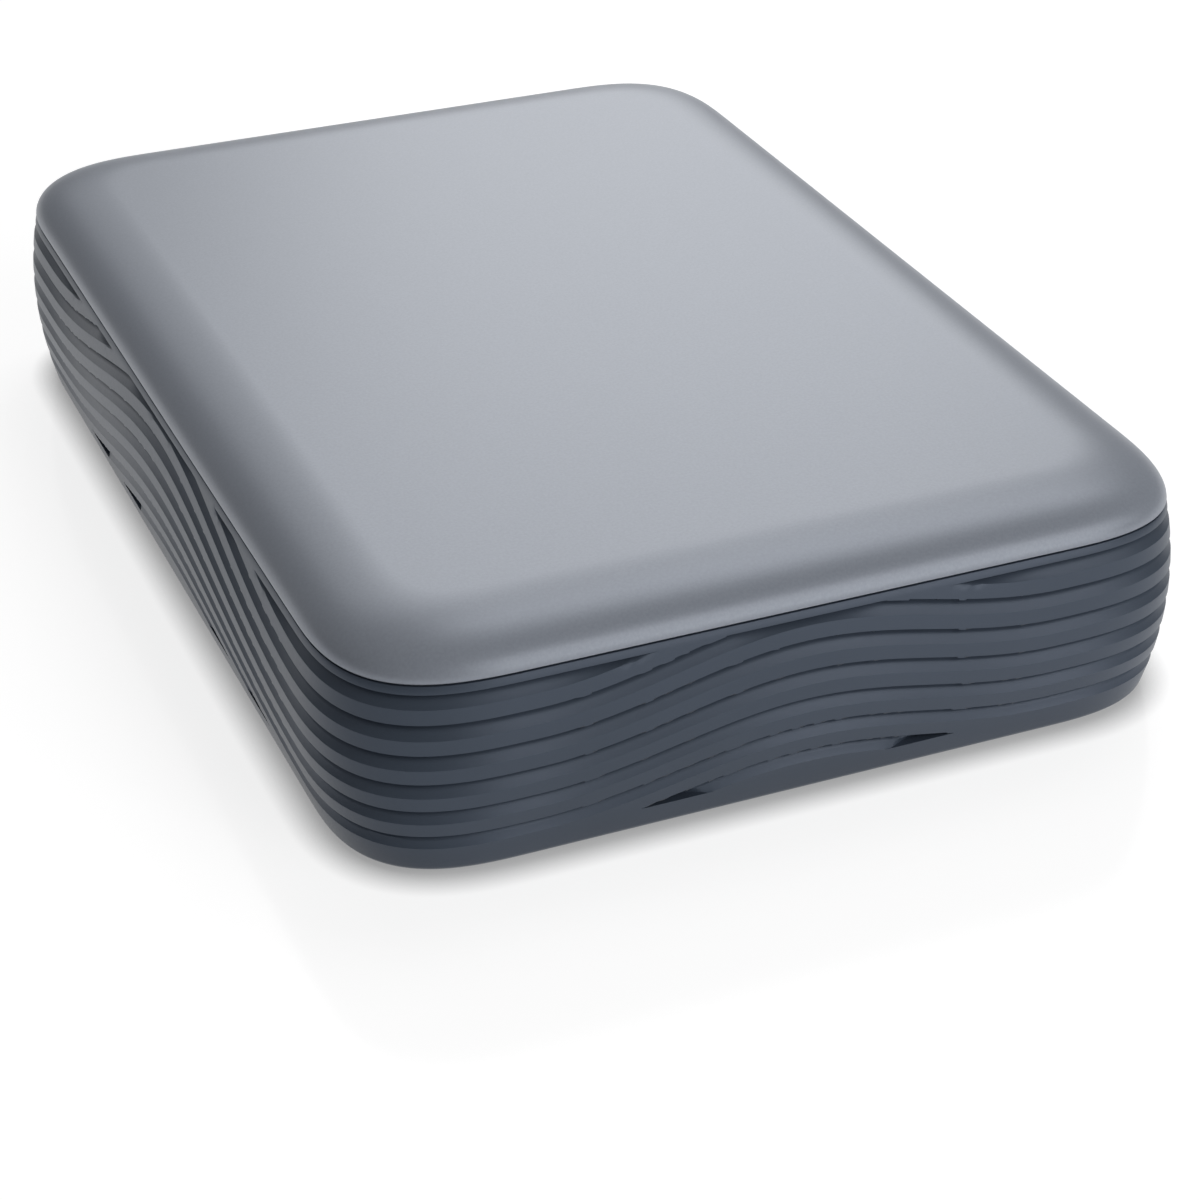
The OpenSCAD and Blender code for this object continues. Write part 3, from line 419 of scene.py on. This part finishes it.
# Tool-textured ABS: satin, with a grain of about 0.4 mm and slow clouding from the melt.
place = add(tree, "TexCoord")
cloud = add(tree, "TexNoise", Vector=place.outputs["Object"], Scale=45.0, Detail=3.0)
tone = add(tree, "ValToRGB", Fac=cloud.outputs[0])
tone.color_ramp.elements[0].position, tone.color_ramp.elements[1].position = 0.35, 0.65
tone.color_ramp.elements[0].color = linear("#424b57")
tone.color_ramp.elements[1].color = linear("#47505d")
grain = add(tree, "TexNoise", Vector=place.outputs["Object"], Scale=1 / (0.4 * MM), Detail=2.0)
bump = add(tree, "Bump", Strength=0.12, Distance=0.04 * MM, Height=grain.outputs[0])
rough = add(tree, "MapRange", Value=grain.outputs[0], To_Min=0.34, To_Max=0.42)
surface = add(tree, "BsdfPrincipled", Base_Color=tone.outputs[0], Roughness=rough.outputs[0],
              Normal=bump.outputs[0], IOR=1.5, Specular_Tint=linear("#dde7fb"))
tree.links.new(surface.outputs[0], out.inputs[0])
for piece in [casing] + bosses:
    piece.data.materials.append(moulded_abs)
    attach(piece, "casing")
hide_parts("lower_case")


# Rubber feet
# Four round pads of thermoplastic rubber, glued into recesses under the casing. They keep the
# drive from sliding and damp its hum.

def dress(material, *nodes):
    """Gives CAD nodes a finish in place of the plain one they came with."""
    for name in nodes:
        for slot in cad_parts[name].material_slots:
            slot.material = material


soft_rubber, tree, out = blank("thermoplastic rubber, black")
# Moulded against a blasted tool: dull, with a 0.3 mm leathery grain and paler scuffed high spots.
place = add(tree, "TexCoord")
grain = add(tree, "TexVoronoi", Vector=place.outputs["Object"], Scale=1 / (0.3 * MM))
scuff = add(tree, "TexNoise", Vector=place.outputs["Object"], Scale=1 / (4 * MM), Detail=4.0)
tone = add(tree, "ValToRGB", Fac=scuff.outputs[0])
tone.color_ramp.elements[0].position, tone.color_ramp.elements[1].position = 0.4, 0.75
tone.color_ramp.elements[0].color = linear("#1c1c1e")
tone.color_ramp.elements[1].color = linear("#2a2a2c")
bump = add(tree, "Bump", Strength=0.35, Distance=0.04 * MM, Height=grain.outputs[0])
rough = add(tree, "MapRange", Value=scuff.outputs[0], To_Min=0.68, To_Max=0.86)
surface = add(tree, "BsdfPrincipled", Base_Color=tone.outputs[0], Roughness=rough.outputs[0],
              Normal=bump.outputs[0], IOR=1.52)
tree.links.new(surface.outputs[0], out.inputs[0])
dress(soft_rubber, "rubber_feet")


# Corner pads
# Stepped blocks of softer rubber at the four corners. The disk drive is held by nothing else.
pad_rubber, tree, out = blank("silicone rubber, charcoal")
# Cast silicone keeps a fine bloom of dust: matt, with clouds 3 mm across and mould grain below.
place = add(tree, "TexCoord")
bloom = add(tree, "TexNoise", Vector=place.outputs["Object"], Scale=1 / (3 * MM), Detail=6.0)
tone = add(tree, "ValToRGB", Fac=bloom.outputs[0])
tone.color_ramp.elements[0].position, tone.color_ramp.elements[1].position = 0.3, 0.8
tone.color_ramp.elements[0].color = linear("#2b2c30")
tone.color_ramp.elements[1].color = linear("#3d3e42")
grain = add(tree, "TexNoise", Vector=place.outputs["Object"], Scale=1 / (0.25 * MM), Detail=2.0)
bump = add(tree, "Bump", Strength=0.3, Distance=0.05 * MM, Height=grain.outputs[0])
surface = add(tree, "BsdfPrincipled", Base_Color=tone.outputs[0], Roughness=0.78,
              Normal=bump.outputs[0], IOR=1.41)
tree.links.new(surface.outputs[0], out.inputs[0])
dress(pad_rubber, "corner_pads")


# Bridge board
# Small glass-epoxy circuit board behind the socket, screwed to two bosses. Its chips hang below
# it and turn the drive's signals into the socket's.

def laminate(name, track_pitch, dark, light):
    """Solder mask over copper on glass epoxy: a grid of tracks a shade lighter than the gaps,
    on bricks as long as the runs between vias, under a clear glossy film."""
    made, tree, out = blank(name)
    place = add(tree, "TexCoord")
    tracks = add(tree, "TexBrick", {"offset": 0.37, "squash": 1.6, "squash_frequency": 3},
                 Vector=place.outputs["Object"], Color1=linear(light), Color2=linear(light),
                 Mortar=linear(dark), Scale=1.0, Mortar_Size=track_pitch * 0.22 * MM,
                 Mortar_Smooth=0.2, Brick_Width=track_pitch * 6 * MM, Row_Height=track_pitch * MM)
    patch = add(tree, "TexNoise", Vector=place.outputs["Object"], Scale=1 / (5 * MM), Detail=1.0)
    poured = add(tree, "MapRange", Value=patch.outputs[0], From_Min=0.5, From_Max=0.52)
    tone = add(tree, "Mix", {"data_type": "RGBA"}, in_0=poured.outputs[0],
               in_6=tracks.outputs[0], in_7=linear(light))
    bump = add(tree, "Bump", Strength=0.4, Distance=0.03 * MM, Height=tracks.outputs[1])
    surface = add(tree, "BsdfPrincipled", Base_Color=tone.outputs[2], Roughness=0.3, IOR=1.55,
                  Normal=bump.outputs[0], Coat_Weight=0.3, Coat_Roughness=0.12)
    tree.links.new(surface.outputs[0], out.inputs[0])
    return made


dress(laminate("glass-epoxy laminate, green", 0.35, "#0c3a26", "#17553a"), "bridge_board")

moulded_epoxy, tree, out = blank("moulded epoxy, black")
# Chip bodies are pressed from silica-filled epoxy: dull black with grit of about 0.1 mm.
place = add(tree, "TexCoord")
grit = add(tree, "TexNoise", Vector=place.outputs["Object"], Scale=1 / (0.1 * MM), Detail=3.0)
tone = add(tree, "ValToRGB", Fac=grit.outputs[0])
tone.color_ramp.elements[0].color = linear("#161618")
tone.color_ramp.elements[1].color = linear("#26262a")
bump = add(tree, "Bump", Strength=0.25, Distance=0.02 * MM, Height=grit.outputs[0])
surface = add(tree, "BsdfPrincipled", Base_Color=tone.outputs[0], Roughness=0.6,
              Normal=bump.outputs[0], IOR=1.56)
tree.links.new(surface.outputs[0], out.inputs[0])
dress(moulded_epoxy, "bridge_chips")

liquid_crystal, tree, out = blank("glass-filled polymer, black")
# Connector bodies are moulded thin from glass-filled polymer: the melt leaves streaks along the
# flow, drawn 1 mm apart, with a dull sheen between them. The scales here are streaks per metre.
place = add(tree, "TexCoord")
flow = add(tree, "Mapping", Vector=place.outputs["Object"], Scale=(1000.0, 180.0, 1000.0))
streak = add(tree, "TexNoise", Vector=flow.outputs[0], Scale=1.0, Detail=4.0)
tone = add(tree, "ValToRGB", Fac=streak.outputs[0])
tone.color_ramp.elements[0].position, tone.color_ramp.elements[1].position = 0.35, 0.7
tone.color_ramp.elements[0].color = linear("#121214")
tone.color_ramp.elements[1].color = linear("#222225")
bump = add(tree, "Bump", Strength=0.15, Distance=0.02 * MM, Height=streak.outputs[0])
rough = add(tree, "MapRange", Value=streak.outputs[0], To_Min=0.42, To_Max=0.6)
surface = add(tree, "BsdfPrincipled", Base_Color=tone.outputs[0], Roughness=rough.outputs[0],
              Normal=bump.outputs[0], IOR=1.6)
tree.links.new(surface.outputs[0], out.inputs[0])
dress(liquid_crystal, "sata_receptacle", "usb_socket_tongue")

plated_steel, tree, out = blank("nickel-plated steel")
# Barrel-plated small screws: bright and slightly orange-peeled, with rubbed spots 1 mm across.
place = add(tree, "TexCoord")
peel = add(tree, "TexNoise", Vector=place.outputs["Object"], Scale=1 / (0.4 * MM), Detail=2.0)
worn = add(tree, "TexNoise", Vector=place.outputs["Object"], Scale=1 / (1.0 * MM), Detail=5.0)
tone = add(tree, "ValToRGB", Fac=worn.outputs[0])
tone.color_ramp.elements[0].position, tone.color_ramp.elements[1].position = 0.35, 0.7
tone.color_ramp.elements[0].color = linear("#aeaca6")
tone.color_ramp.elements[1].color = linear("#c6c4bf")
bump = add(tree, "Bump", Strength=0.15, Distance=0.03 * MM, Height=peel.outputs[0])
rough = add(tree, "MapRange", Value=worn.outputs[0], To_Min=0.2, To_Max=0.34)
surface = add(tree, "BsdfPrincipled", Base_Color=tone.outputs[0], Roughness=rough.outputs[0],
              Metallic=1.0, Normal=bump.outputs[0])
tree.links.new(surface.outputs[0], out.inputs[0])
dress(plated_steel, "board_screws", "lid_screws", "drive_board_screws", "clamp_screws")


# Data socket
# Drawn steel shell in two parts with a plastic tongue in each. Gold-plated strips lie on the
# tongues, five to each.
drawn_steel, tree, out = blank("drawn steel, tin-plated")
# The shell is folded from rolled strip: rolling lines run round it, drawn 0.15 mm apart.
place = add(tree, "TexCoord")
lines = add(tree, "Mapping", Vector=place.outputs["Object"], Scale=(400.0, 7000.0, 400.0))
rolled = add(tree, "TexNoise", Vector=lines.outputs[0], Scale=1.0, Detail=3.0)
tone = add(tree, "ValToRGB", Fac=rolled.outputs[0])
tone.color_ramp.elements[0].position, tone.color_ramp.elements[1].position = 0.3, 0.7
tone.color_ramp.elements[0].color = linear("#a8a9ab")
tone.color_ramp.elements[1].color = linear("#c3c4c6")
bump = add(tree, "Bump", Strength=0.1, Distance=0.02 * MM, Height=rolled.outputs[0])
rough = add(tree, "MapRange", Value=rolled.outputs[0], To_Min=0.24, To_Max=0.36)
surface = add(tree, "BsdfPrincipled", Base_Color=tone.outputs[0], Roughness=rough.outputs[0],
              Metallic=1.0, Normal=bump.outputs[0])
tree.links.new(surface.outputs[0], out.inputs[0])
dress(drawn_steel, "usb_socket_shell")

strip_wide, strip_long, strip_thick, strip_round = 0.34, 3.9, 0.05, 0.12
tongue_back, strip_in = 51.0, 0.1
strips = []
for middle, spacing, top in ((-2.5, 0.8, 6.65), (4.05, 0.58, 6.75)):
    strips += [prism(rounded(strip_wide, strip_long, strip_round, 4), top, top + strip_thick,
                     (middle + step * spacing, tongue_back + strip_in + strip_long / 2, 0))
               for step in range(-2, 3)]
contacts = solid("socket_contacts", strips)
gold_plate, tree, out = blank("gold over nickel")
# Flash gold wiped by the plug: warm metal, with insertion lines along the strips 0.1 mm apart.
place = add(tree, "TexCoord")
lines = add(tree, "Mapping", Vector=place.outputs["Object"], Scale=(10000.0, 300.0, 300.0))
wiped = add(tree, "TexNoise", Vector=lines.outputs[0], Scale=1.0, Detail=2.0)
tone = add(tree, "ValToRGB", Fac=wiped.outputs[0])
tone.color_ramp.elements[0].color = linear("#c99b4c")
tone.color_ramp.elements[1].color = linear("#e6c583")
rough = add(tree, "MapRange", Value=wiped.outputs[0], To_Min=0.22, To_Max=0.4)
surface = add(tree, "BsdfPrincipled", Base_Color=tone.outputs[0], Roughness=rough.outputs[0],
              Metallic=1.0)
tree.links.new(surface.outputs[0], out.inputs[0])
contacts.data.materials.append(gold_plate)
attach(contacts, "casing")


# Indicator light
# A small light on the board shines through a rod of clear acrylic that ends in the casing's wall.
clear_acrylic, tree, out = blank("cast acrylic, clear")
# Moulded acrylic: glass-clear, with faint flow ripples about 0.5 mm apart.
place = add(tree, "TexCoord")
ripple = add(tree, "TexNoise", Vector=place.outputs["Object"], Scale=1 / (0.5 * MM), Detail=1.0)
bump = add(tree, "Bump", Strength=0.1, Distance=0.02 * MM, Height=ripple.outputs[0])
rough = add(tree, "MapRange", Value=ripple.outputs[0], To_Min=0.06, To_Max=0.14)
surface = add(tree, "BsdfPrincipled", Base_Color=linear("#f4f6f8"), Roughness=rough.outputs[0],
              Transmission_Weight=0.85, Normal=bump.outputs[0], IOR=1.49)
tree.links.new(surface.outputs[0], out.inputs[0])
dress(clear_acrylic, "light_guide")

milky_epoxy, tree, out = blank("cast epoxy, milky")
# The light's lens: epoxy clouded with diffuser powder, specks of about 0.2 mm.
place = add(tree, "TexCoord")
speck = add(tree, "TexNoise", Vector=place.outputs["Object"], Scale=1 / (0.2 * MM), Detail=2.0)
tone = add(tree, "ValToRGB", Fac=speck.outputs[0])
tone.color_ramp.elements[0].color = linear("#d8d3b8")
tone.color_ramp.elements[1].color = linear("#efecd8")
surface = add(tree, "BsdfPrincipled", Base_Color=tone.outputs[0], Roughness=0.3, IOR=1.5,
              Transmission_Weight=0.3)
tree.links.new(surface.outputs[0], out.inputs[0])
dress(milky_epoxy, "status_light")


# Disk drive: base
# Die-cast aluminium tray, machined where the disks and the lid sit. Its circuit board lies in a
# recess below, and its plug stands in a notch at the end.
cast_aluminium, tree, out = blank("die-cast aluminium")
# Die casting leaves a soft grey skin with orange peel about 0.8 mm across and flow marks.
place = add(tree, "TexCoord")
peel = add(tree, "TexNoise", Vector=place.outputs["Object"], Scale=1 / (0.8 * MM), Detail=3.0)
marks = add(tree, "TexNoise", Vector=place.outputs["Object"], Scale=1 / (9 * MM), Detail=4.0,
            Distortion=1.5)
tone = add(tree, "ValToRGB", Fac=marks.outputs[0])
tone.color_ramp.elements[0].position, tone.color_ramp.elements[1].position = 0.3, 0.7
tone.color_ramp.elements[0].color = linear("#8d8f91")
tone.color_ramp.elements[1].color = linear("#a7a9ab")
bump = add(tree, "Bump", Strength=0.3, Distance=0.05 * MM, Height=peel.outputs[0])
rough = add(tree, "MapRange", Value=marks.outputs[0], To_Min=0.42, To_Max=0.58)
surface = add(tree, "BsdfPrincipled", Base_Color=tone.outputs[0], Roughness=rough.outputs[0],
              Metallic=0.9, Normal=bump.outputs[0])
tree.links.new(surface.outputs[0], out.inputs[0])
dress(cast_aluminium, "drive_base")

dress(laminate("glass-epoxy laminate, deep green", 0.5, "#0a2f22", "#12452f"), "drive_board")
dress(moulded_epoxy, "drive_board_chips")
dress(liquid_crystal, "drive_plug")


# Disk drive: spindle
# The shaft stands in the base. A nine-pole motor turns the hub on it, with four disks, their
# spacers and a clamp on top.
spindle_at = Vector((0, -17.05, 0)) * MM
pivot_at = Vector((12.0, 20.65, 0)) * MM
wave_step = 0.314


def lathe_turned(name, centre, ring_pitch, dark, light, roughest):
    """Metal turned on a lathe: tool rings about the axis, a given pitch apart in mm, whose tone is
    painted lighter and darker in turn as painted glints, with the roughness rising and falling with
    them. The wave texture repeats each wave_step / scale."""
    made, tree, out = blank(name)
    place = add(tree, "TexCoord")
    about = add(tree, "Mapping", Vector=place.outputs["Object"], Location=tuple(-centre))
    rings = add(tree, "TexWave", {"wave_type": "RINGS", "rings_direction": "Z"},
                Vector=about.outputs[0], Scale=wave_step / (ring_pitch * MM), Distortion=0.6,
                Detail=2.0, Detail_Scale=1.5)
    # The tone follows the rings: painted glints, lighter and darker in turn.
    tone = add(tree, "ValToRGB", Fac=rings.outputs[1])
    tone.color_ramp.elements[0].color = linear(dark)
    tone.color_ramp.elements[1].color = linear(light)
    bump = add(tree, "Bump", Strength=0.12, Distance=0.02 * MM, Height=rings.outputs[1])
    rough = add(tree, "MapRange", Value=rings.outputs[1], To_Min=roughest * 0.6, To_Max=roughest)
    surface = add(tree, "BsdfPrincipled", Base_Color=tone.outputs[0], Metallic=1.0,
                  Roughness=rough.outputs[0], Normal=bump.outputs[0])
    tree.links.new(surface.outputs[0], out.inputs[0])
    return made


# Ground shafts of bearing steel: near mirror-bright, with grinding rings 0.1 mm apart.
dress(lathe_turned("ground bearing steel, spindle", spindle_at, 0.1, "#b0b2b5", "#c9cbce", 0.16),
      "spindle_shaft")
# Hub, spacers and clamp are turned from aluminium bar at a feed of about 0.2 mm.
dress(lathe_turned("turned aluminium", spindle_at, 0.2, "#b5b6b8", "#d0d1d2", 0.3),
      "spindle_hub", "disk_spacers", "disk_clamp")
# The disks are lapped and sputtered: a mirror with a faint grey-brown cast and, drawn 0.3 mm
# apart, the texture lines that run round them.
dress(lathe_turned("sputtered mirror film", spindle_at, 0.3, "#c2c0bd", "#c8c6c4", 0.07), "disks")

copper_wire, tree, out = blank("enamelled copper wire")
# Wire of 0.2 mm laid side by side: bands across the coil, each a painted highlight along the round
# wire with painted shade between the turns.
place = add(tree, "TexCoord")
turns = add(tree, "TexWave", {"wave_type": "BANDS", "bands_direction": "Z"},
            Vector=place.outputs["Object"], Scale=wave_step / (0.2 * MM), Distortion=0.3)
# Bright and dark across each band: a painted highlight on each turn and painted shade between turns.
tone = add(tree, "ValToRGB", Fac=turns.outputs[1])
tone.color_ramp.elements[0].color = linear("#7a3617")
tone.color_ramp.elements[1].color = linear("#c9763d")
bump = add(tree, "Bump", Strength=0.6, Distance=0.06 * MM, Height=turns.outputs[1])
surface = add(tree, "BsdfPrincipled", Base_Color=tone.outputs[0], Roughness=0.32,
              Metallic=0.85, Normal=bump.outputs[0], Coat_Weight=0.4, Coat_Roughness=0.15)
tree.links.new(surface.outputs[0], out.inputs[0])
dress(copper_wire, "motor_stator")


# Disk drive: head actuator
# Aluminium arms on a pivot reach between the disks with a spring-steel suspension and a ceramic
# head each. A copper coil behind them swings between two magnets.
dress(lathe_turned("ground bearing steel, pivot", pivot_at, 0.1, "#b0b2b5", "#c9cbce", 0.16),
      "pivot_shaft")

milled_aluminium, tree, out = blank("milled aluminium")
# Extruded and then milled: cutter lines along the arms, drawn 0.15 mm apart.
place = add(tree, "TexCoord")
lines = add(tree, "Mapping", Vector=place.outputs["Object"], Scale=(700.0, 6500.0, 6500.0))
milled = add(tree, "TexNoise", Vector=lines.outputs[0], Scale=1.0, Detail=3.0)
tone = add(tree, "ValToRGB", Fac=milled.outputs[0])
tone.color_ramp.elements[0].position, tone.color_ramp.elements[1].position = 0.3, 0.7
tone.color_ramp.elements[0].color = linear("#a5a6a8")
tone.color_ramp.elements[1].color = linear("#bfc0c2")
bump = add(tree, "Bump", Strength=0.15, Distance=0.03 * MM, Height=milled.outputs[0])
rough = add(tree, "MapRange", Value=milled.outputs[0], To_Min=0.3, To_Max=0.42)
surface = add(tree, "BsdfPrincipled", Base_Color=tone.outputs[0], Roughness=rough.outputs[0],
              Metallic=1.0, Normal=bump.outputs[0])
tree.links.new(surface.outputs[0], out.inputs[0])
dress(milled_aluminium, "head_arm_block")

spring_steel, tree, out = blank("stainless spring strip")
# Cold-rolled and etched thin: bright, with rolling lines and etched edges a shade darker.
place = add(tree, "TexCoord")
lines = add(tree, "Mapping", Vector=place.outputs["Object"], Scale=(5000.0, 500.0, 500.0))
rolled = add(tree, "TexNoise", Vector=lines.outputs[0], Scale=1.0, Detail=4.0)
tone = add(tree, "ValToRGB", Fac=rolled.outputs[0])
tone.color_ramp.elements[0].color = linear("#9fa1a3")
tone.color_ramp.elements[1].color = linear("#cfd1d2")
rough = add(tree, "MapRange", Value=rolled.outputs[0], To_Min=0.15, To_Max=0.28)
surface = add(tree, "BsdfPrincipled", Base_Color=tone.outputs[0], Roughness=rough.outputs[0],
              Metallic=1.0)
tree.links.new(surface.outputs[0], out.inputs[0])
dress(spring_steel, "head_suspensions")

lapped_ceramic, tree, out = blank("lapped alumina ceramic")
# Sliders are sliced from dark sintered ceramic and lapped: grains of 0.05 mm under a soft gloss.
place = add(tree, "TexCoord")
grains = add(tree, "TexVoronoi", Vector=place.outputs["Object"], Scale=1 / (0.05 * MM))
tone = add(tree, "ValToRGB", Fac=grains.outputs[0])
tone.color_ramp.elements[0].color = linear("#1d1e21")
tone.color_ramp.elements[1].color = linear("#37383c")
surface = add(tree, "BsdfPrincipled", Base_Color=tone.outputs[0], Roughness=0.3, IOR=1.76)
tree.links.new(surface.outputs[0], out.inputs[0])
dress(lapped_ceramic, "read_heads")
dress(copper_wire, "voice_coil")

plated_magnet, tree, out = blank("nickel-plated magnet")
# Pressed and sintered, then plated: silvery, with soft dimples of 0.6 mm left by the powder.
place = add(tree, "TexCoord")
dimple = add(tree, "TexNoise", Vector=place.outputs["Object"], Scale=1 / (0.6 * MM), Detail=4.0)
tone = add(tree, "ValToRGB", Fac=dimple.outputs[0])
tone.color_ramp.elements[0].color = linear("#9b9a97")
tone.color_ramp.elements[1].color = linear("#b9b8b4")
bump = add(tree, "Bump", Strength=0.25, Distance=0.03 * MM, Height=dimple.outputs[0])
surface = add(tree, "BsdfPrincipled", Base_Color=tone.outputs[0], Roughness=0.28,
              Metallic=1.0, Normal=bump.outputs[0])
tree.links.new(surface.outputs[0], out.inputs[0])
dress(plated_magnet, "lower_magnet", "upper_magnet")

zinc_plate, tree, out = blank("zinc-plated sheet steel")
# Plates blanked from mild steel: bluish passivated zinc with spangles about 1.5 mm across.
place = add(tree, "TexCoord")
spangle = add(tree, "TexVoronoi", Vector=place.outputs["Object"], Scale=1 / (1.5 * MM))
tone = add(tree, "ValToRGB", Fac=spangle.outputs[1])
tone.color_ramp.elements[0].color = linear("#9ea3a9")
tone.color_ramp.elements[1].color = linear("#b4b8bd")
rough = add(tree, "MapRange", Value=spangle.outputs[0], To_Min=0.3, To_Max=0.42)
surface = add(tree, "BsdfPrincipled", Base_Color=tone.outputs[0], Roughness=rough.outputs[0],
              Metallic=1.0)
tree.links.new(surface.outputs[0], out.inputs[0])
dress(zinc_plate, "lower_yoke", "upper_yoke", "yoke_posts")

ivory_acetal, tree, out = blank("moulded acetal, ivory")
# The ramp that parks the heads is a slippery natural plastic: waxy, with faint 0.5 mm clouding.
place = add(tree, "TexCoord")
waxy = add(tree, "TexNoise", Vector=place.outputs["Object"], Scale=1 / (0.5 * MM), Detail=2.0)
tone = add(tree, "ValToRGB", Fac=waxy.outputs[0])
tone.color_ramp.elements[0].color = linear("#d9d2ba")
tone.color_ramp.elements[1].color = linear("#e8e3d0")
surface = add(tree, "BsdfPrincipled", Base_Color=tone.outputs[0], Roughness=0.36, IOR=1.48,
              Subsurface_Weight=0.15, Subsurface_Scale=1 * MM)
tree.links.new(surface.outputs[0], out.inputs[0])
dress(ivory_acetal, "load_ramp")

filter_felt, tree, out = blank("melt-blown polyester felt")
# The air filter is pressed fibre: white, matt, with tangled strands 0.15 mm thick.
place = add(tree, "TexCoord")
strand = add(tree, "TexNoise", Vector=place.outputs["Object"], Scale=1 / (0.4 * MM), Detail=8.0,
             Distortion=3.0)
tone = add(tree, "ValToRGB", Fac=strand.outputs[0])
tone.color_ramp.elements[0].position, tone.color_ramp.elements[1].position = 0.35, 0.65
tone.color_ramp.elements[0].color = linear("#cfcfca")
tone.color_ramp.elements[1].color = linear("#f0f0ec")
bump = add(tree, "Bump", Strength=0.8, Distance=0.1 * MM, Height=strand.outputs[0])
surface = add(tree, "BsdfPrincipled", Base_Color=tone.outputs[0], Roughness=0.92,
              Normal=bump.outputs[0], Sheen_Weight=0.2)
tree.links.new(surface.outputs[0], out.inputs[0])
dress(filter_felt, "air_filter")


# Disk drive: lid
# Stamped stainless lid, screwed down on a rubber gasket that seals the chamber.
formed_gasket, tree, out = blank("formed-in-place rubber")
# A bead of rubber laid wet and cured: smooth black with gentle waves 1.2 mm long.
place = add(tree, "TexCoord")
wave = add(tree, "TexNoise", Vector=place.outputs["Object"], Scale=1 / (1.2 * MM), Detail=1.0)
tone = add(tree, "ValToRGB", Fac=wave.outputs[0])
tone.color_ramp.elements[0].color = linear("#151516")
tone.color_ramp.elements[1].color = linear("#232325")
bump = add(tree, "Bump", Strength=0.3, Distance=0.06 * MM, Height=wave.outputs[0])
surface = add(tree, "BsdfPrincipled", Base_Color=tone.outputs[0], Roughness=0.5,
              Normal=bump.outputs[0], IOR=1.52)
tree.links.new(surface.outputs[0], out.inputs[0])
dress(formed_gasket, "lid_gasket")

brushed_lid, tree, out = blank("brushed stainless sheet")
# Belt-brushed before stamping: hair lines along the drive, drawn 0.2 mm apart.
place = add(tree, "TexCoord")
lines = add(tree, "Mapping", Vector=place.outputs["Object"], Scale=(5000.0, 60.0, 60.0))
brushed = add(tree, "TexNoise", Vector=lines.outputs[0], Scale=1.0, Detail=5.0)
tone = add(tree, "ValToRGB", Fac=brushed.outputs[0])
tone.color_ramp.elements[0].position, tone.color_ramp.elements[1].position = 0.25, 0.75
tone.color_ramp.elements[0].color = linear("#a3a4a5")
tone.color_ramp.elements[1].color = linear("#c2c3c4")
bump = add(tree, "Bump", Strength=0.1, Distance=0.02 * MM, Height=brushed.outputs[0])
rough = add(tree, "MapRange", Value=brushed.outputs[0], To_Min=0.26, To_Max=0.4)
surface = add(tree, "BsdfPrincipled", Base_Color=tone.outputs[0], Roughness=rough.outputs[0],
              Metallic=1.0, Normal=bump.outputs[0])
tree.links.new(surface.outputs[0], out.inputs[0])
dress(brushed_lid, "drive_lid")


# Cover
# Crowned lid of moulded ABS with a satin silver-grey finish. Its edge rolls over in a quarter
# ellipse down to the open seam, and four ribs under it find the casing's wall.
top_z, crown_reach, inner_reach, inner_up = 22.0, 8.0, 6.0, 0.6
cover_thick, seam_gap, edge_round = 1.6, 0.15, 0.12
rib_in, rib_thick, rib_drop, rib_up, rib_round = 2.8, 1.0, 1.6, 0.9, 0.3
outer_turns = np.radians(np.concatenate([[2, 3, 4.5, 6, 8], np.arange(10, 81, 2.5),
                                         [82, 84, 85.5, 87, 88, 89, 89.5, 90]]))
inner_turns = np.radians([90, 84, 76, 66, 55, 44, 33, 22, 12, 4, 0])


def crown_ring(angle, inset, reach, low, tall):
    """Ring on a quarter ellipse: reach times (1 - cosine) inwards, tall times sine upwards."""
    return level_ring(inset + reach * (1 - max(math.cos(angle), 0)), low + tall * math.sin(angle))


rings = [crown_ring(turn, rib_in + rib_thick, inner_reach, seam + inner_up,
                    top_z - cover_thick - seam - inner_up) for turn in inner_turns]
rings += [level_ring(rib_in + rib_thick, seam + seam_gap),
          level_ring(barrel + edge_round, seam + seam_gap),
          level_ring(barrel, seam + seam_gap + edge_round)]
rings += [crown_ring(turn, barrel, crown_reach, seam + seam_gap, top_z - seam - seam_gap)
          for turn in outer_turns]
cover = skin("cover_shell", rings, 40)
rib_out = rib_in + rib_thick / 2
ribs = [prism(rounded(rib_thick, 2 * flat_y, rib_round, 3), seam - rib_drop, seam + rib_up,
              (side * (wide / 2 - rib_out), 0, floor_up)) for side in (-1, 1)]
ribs += [prism(rounded(2 * flat_x, rib_thick, rib_round, 3), seam - rib_drop, seam + rib_up,
               (0, side * (long_ / 2 - rib_out), floor_up)) for side in (-1, 1)]
cover_ribs = solid("cover_ribs", ribs)

satin_abs, tree, out = blank("moulded ABS, satin silver grey")
# Satin lacquer over ABS: an even sheen with a fleck finer than 0.1 mm, drawn at 0.25 mm to show.
place = add(tree, "TexCoord")
fleck = add(tree, "TexNoise", Vector=place.outputs["Object"], Scale=1 / (0.25 * MM), Detail=2.0)
tone = add(tree, "ValToRGB", Fac=fleck.outputs[0])
tone.color_ramp.elements[0].position, tone.color_ramp.elements[1].position = 0.3, 0.7
tone.color_ramp.elements[0].color = linear("#959ba6")
tone.color_ramp.elements[1].color = linear("#9ba1ac")
bump = add(tree, "Bump", Strength=0.05, Distance=0.03 * MM, Height=fleck.outputs[0])
surface = add(tree, "BsdfPrincipled", Base_Color=tone.outputs[0], Roughness=0.38,
              Metallic=0.2, Normal=bump.outputs[0])
tree.links.new(surface.outputs[0], out.inputs[0])
for piece in (cover, cover_ribs):
    piece.data.materials.append(satin_abs)
    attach(piece, "casing")
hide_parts("top_cover")

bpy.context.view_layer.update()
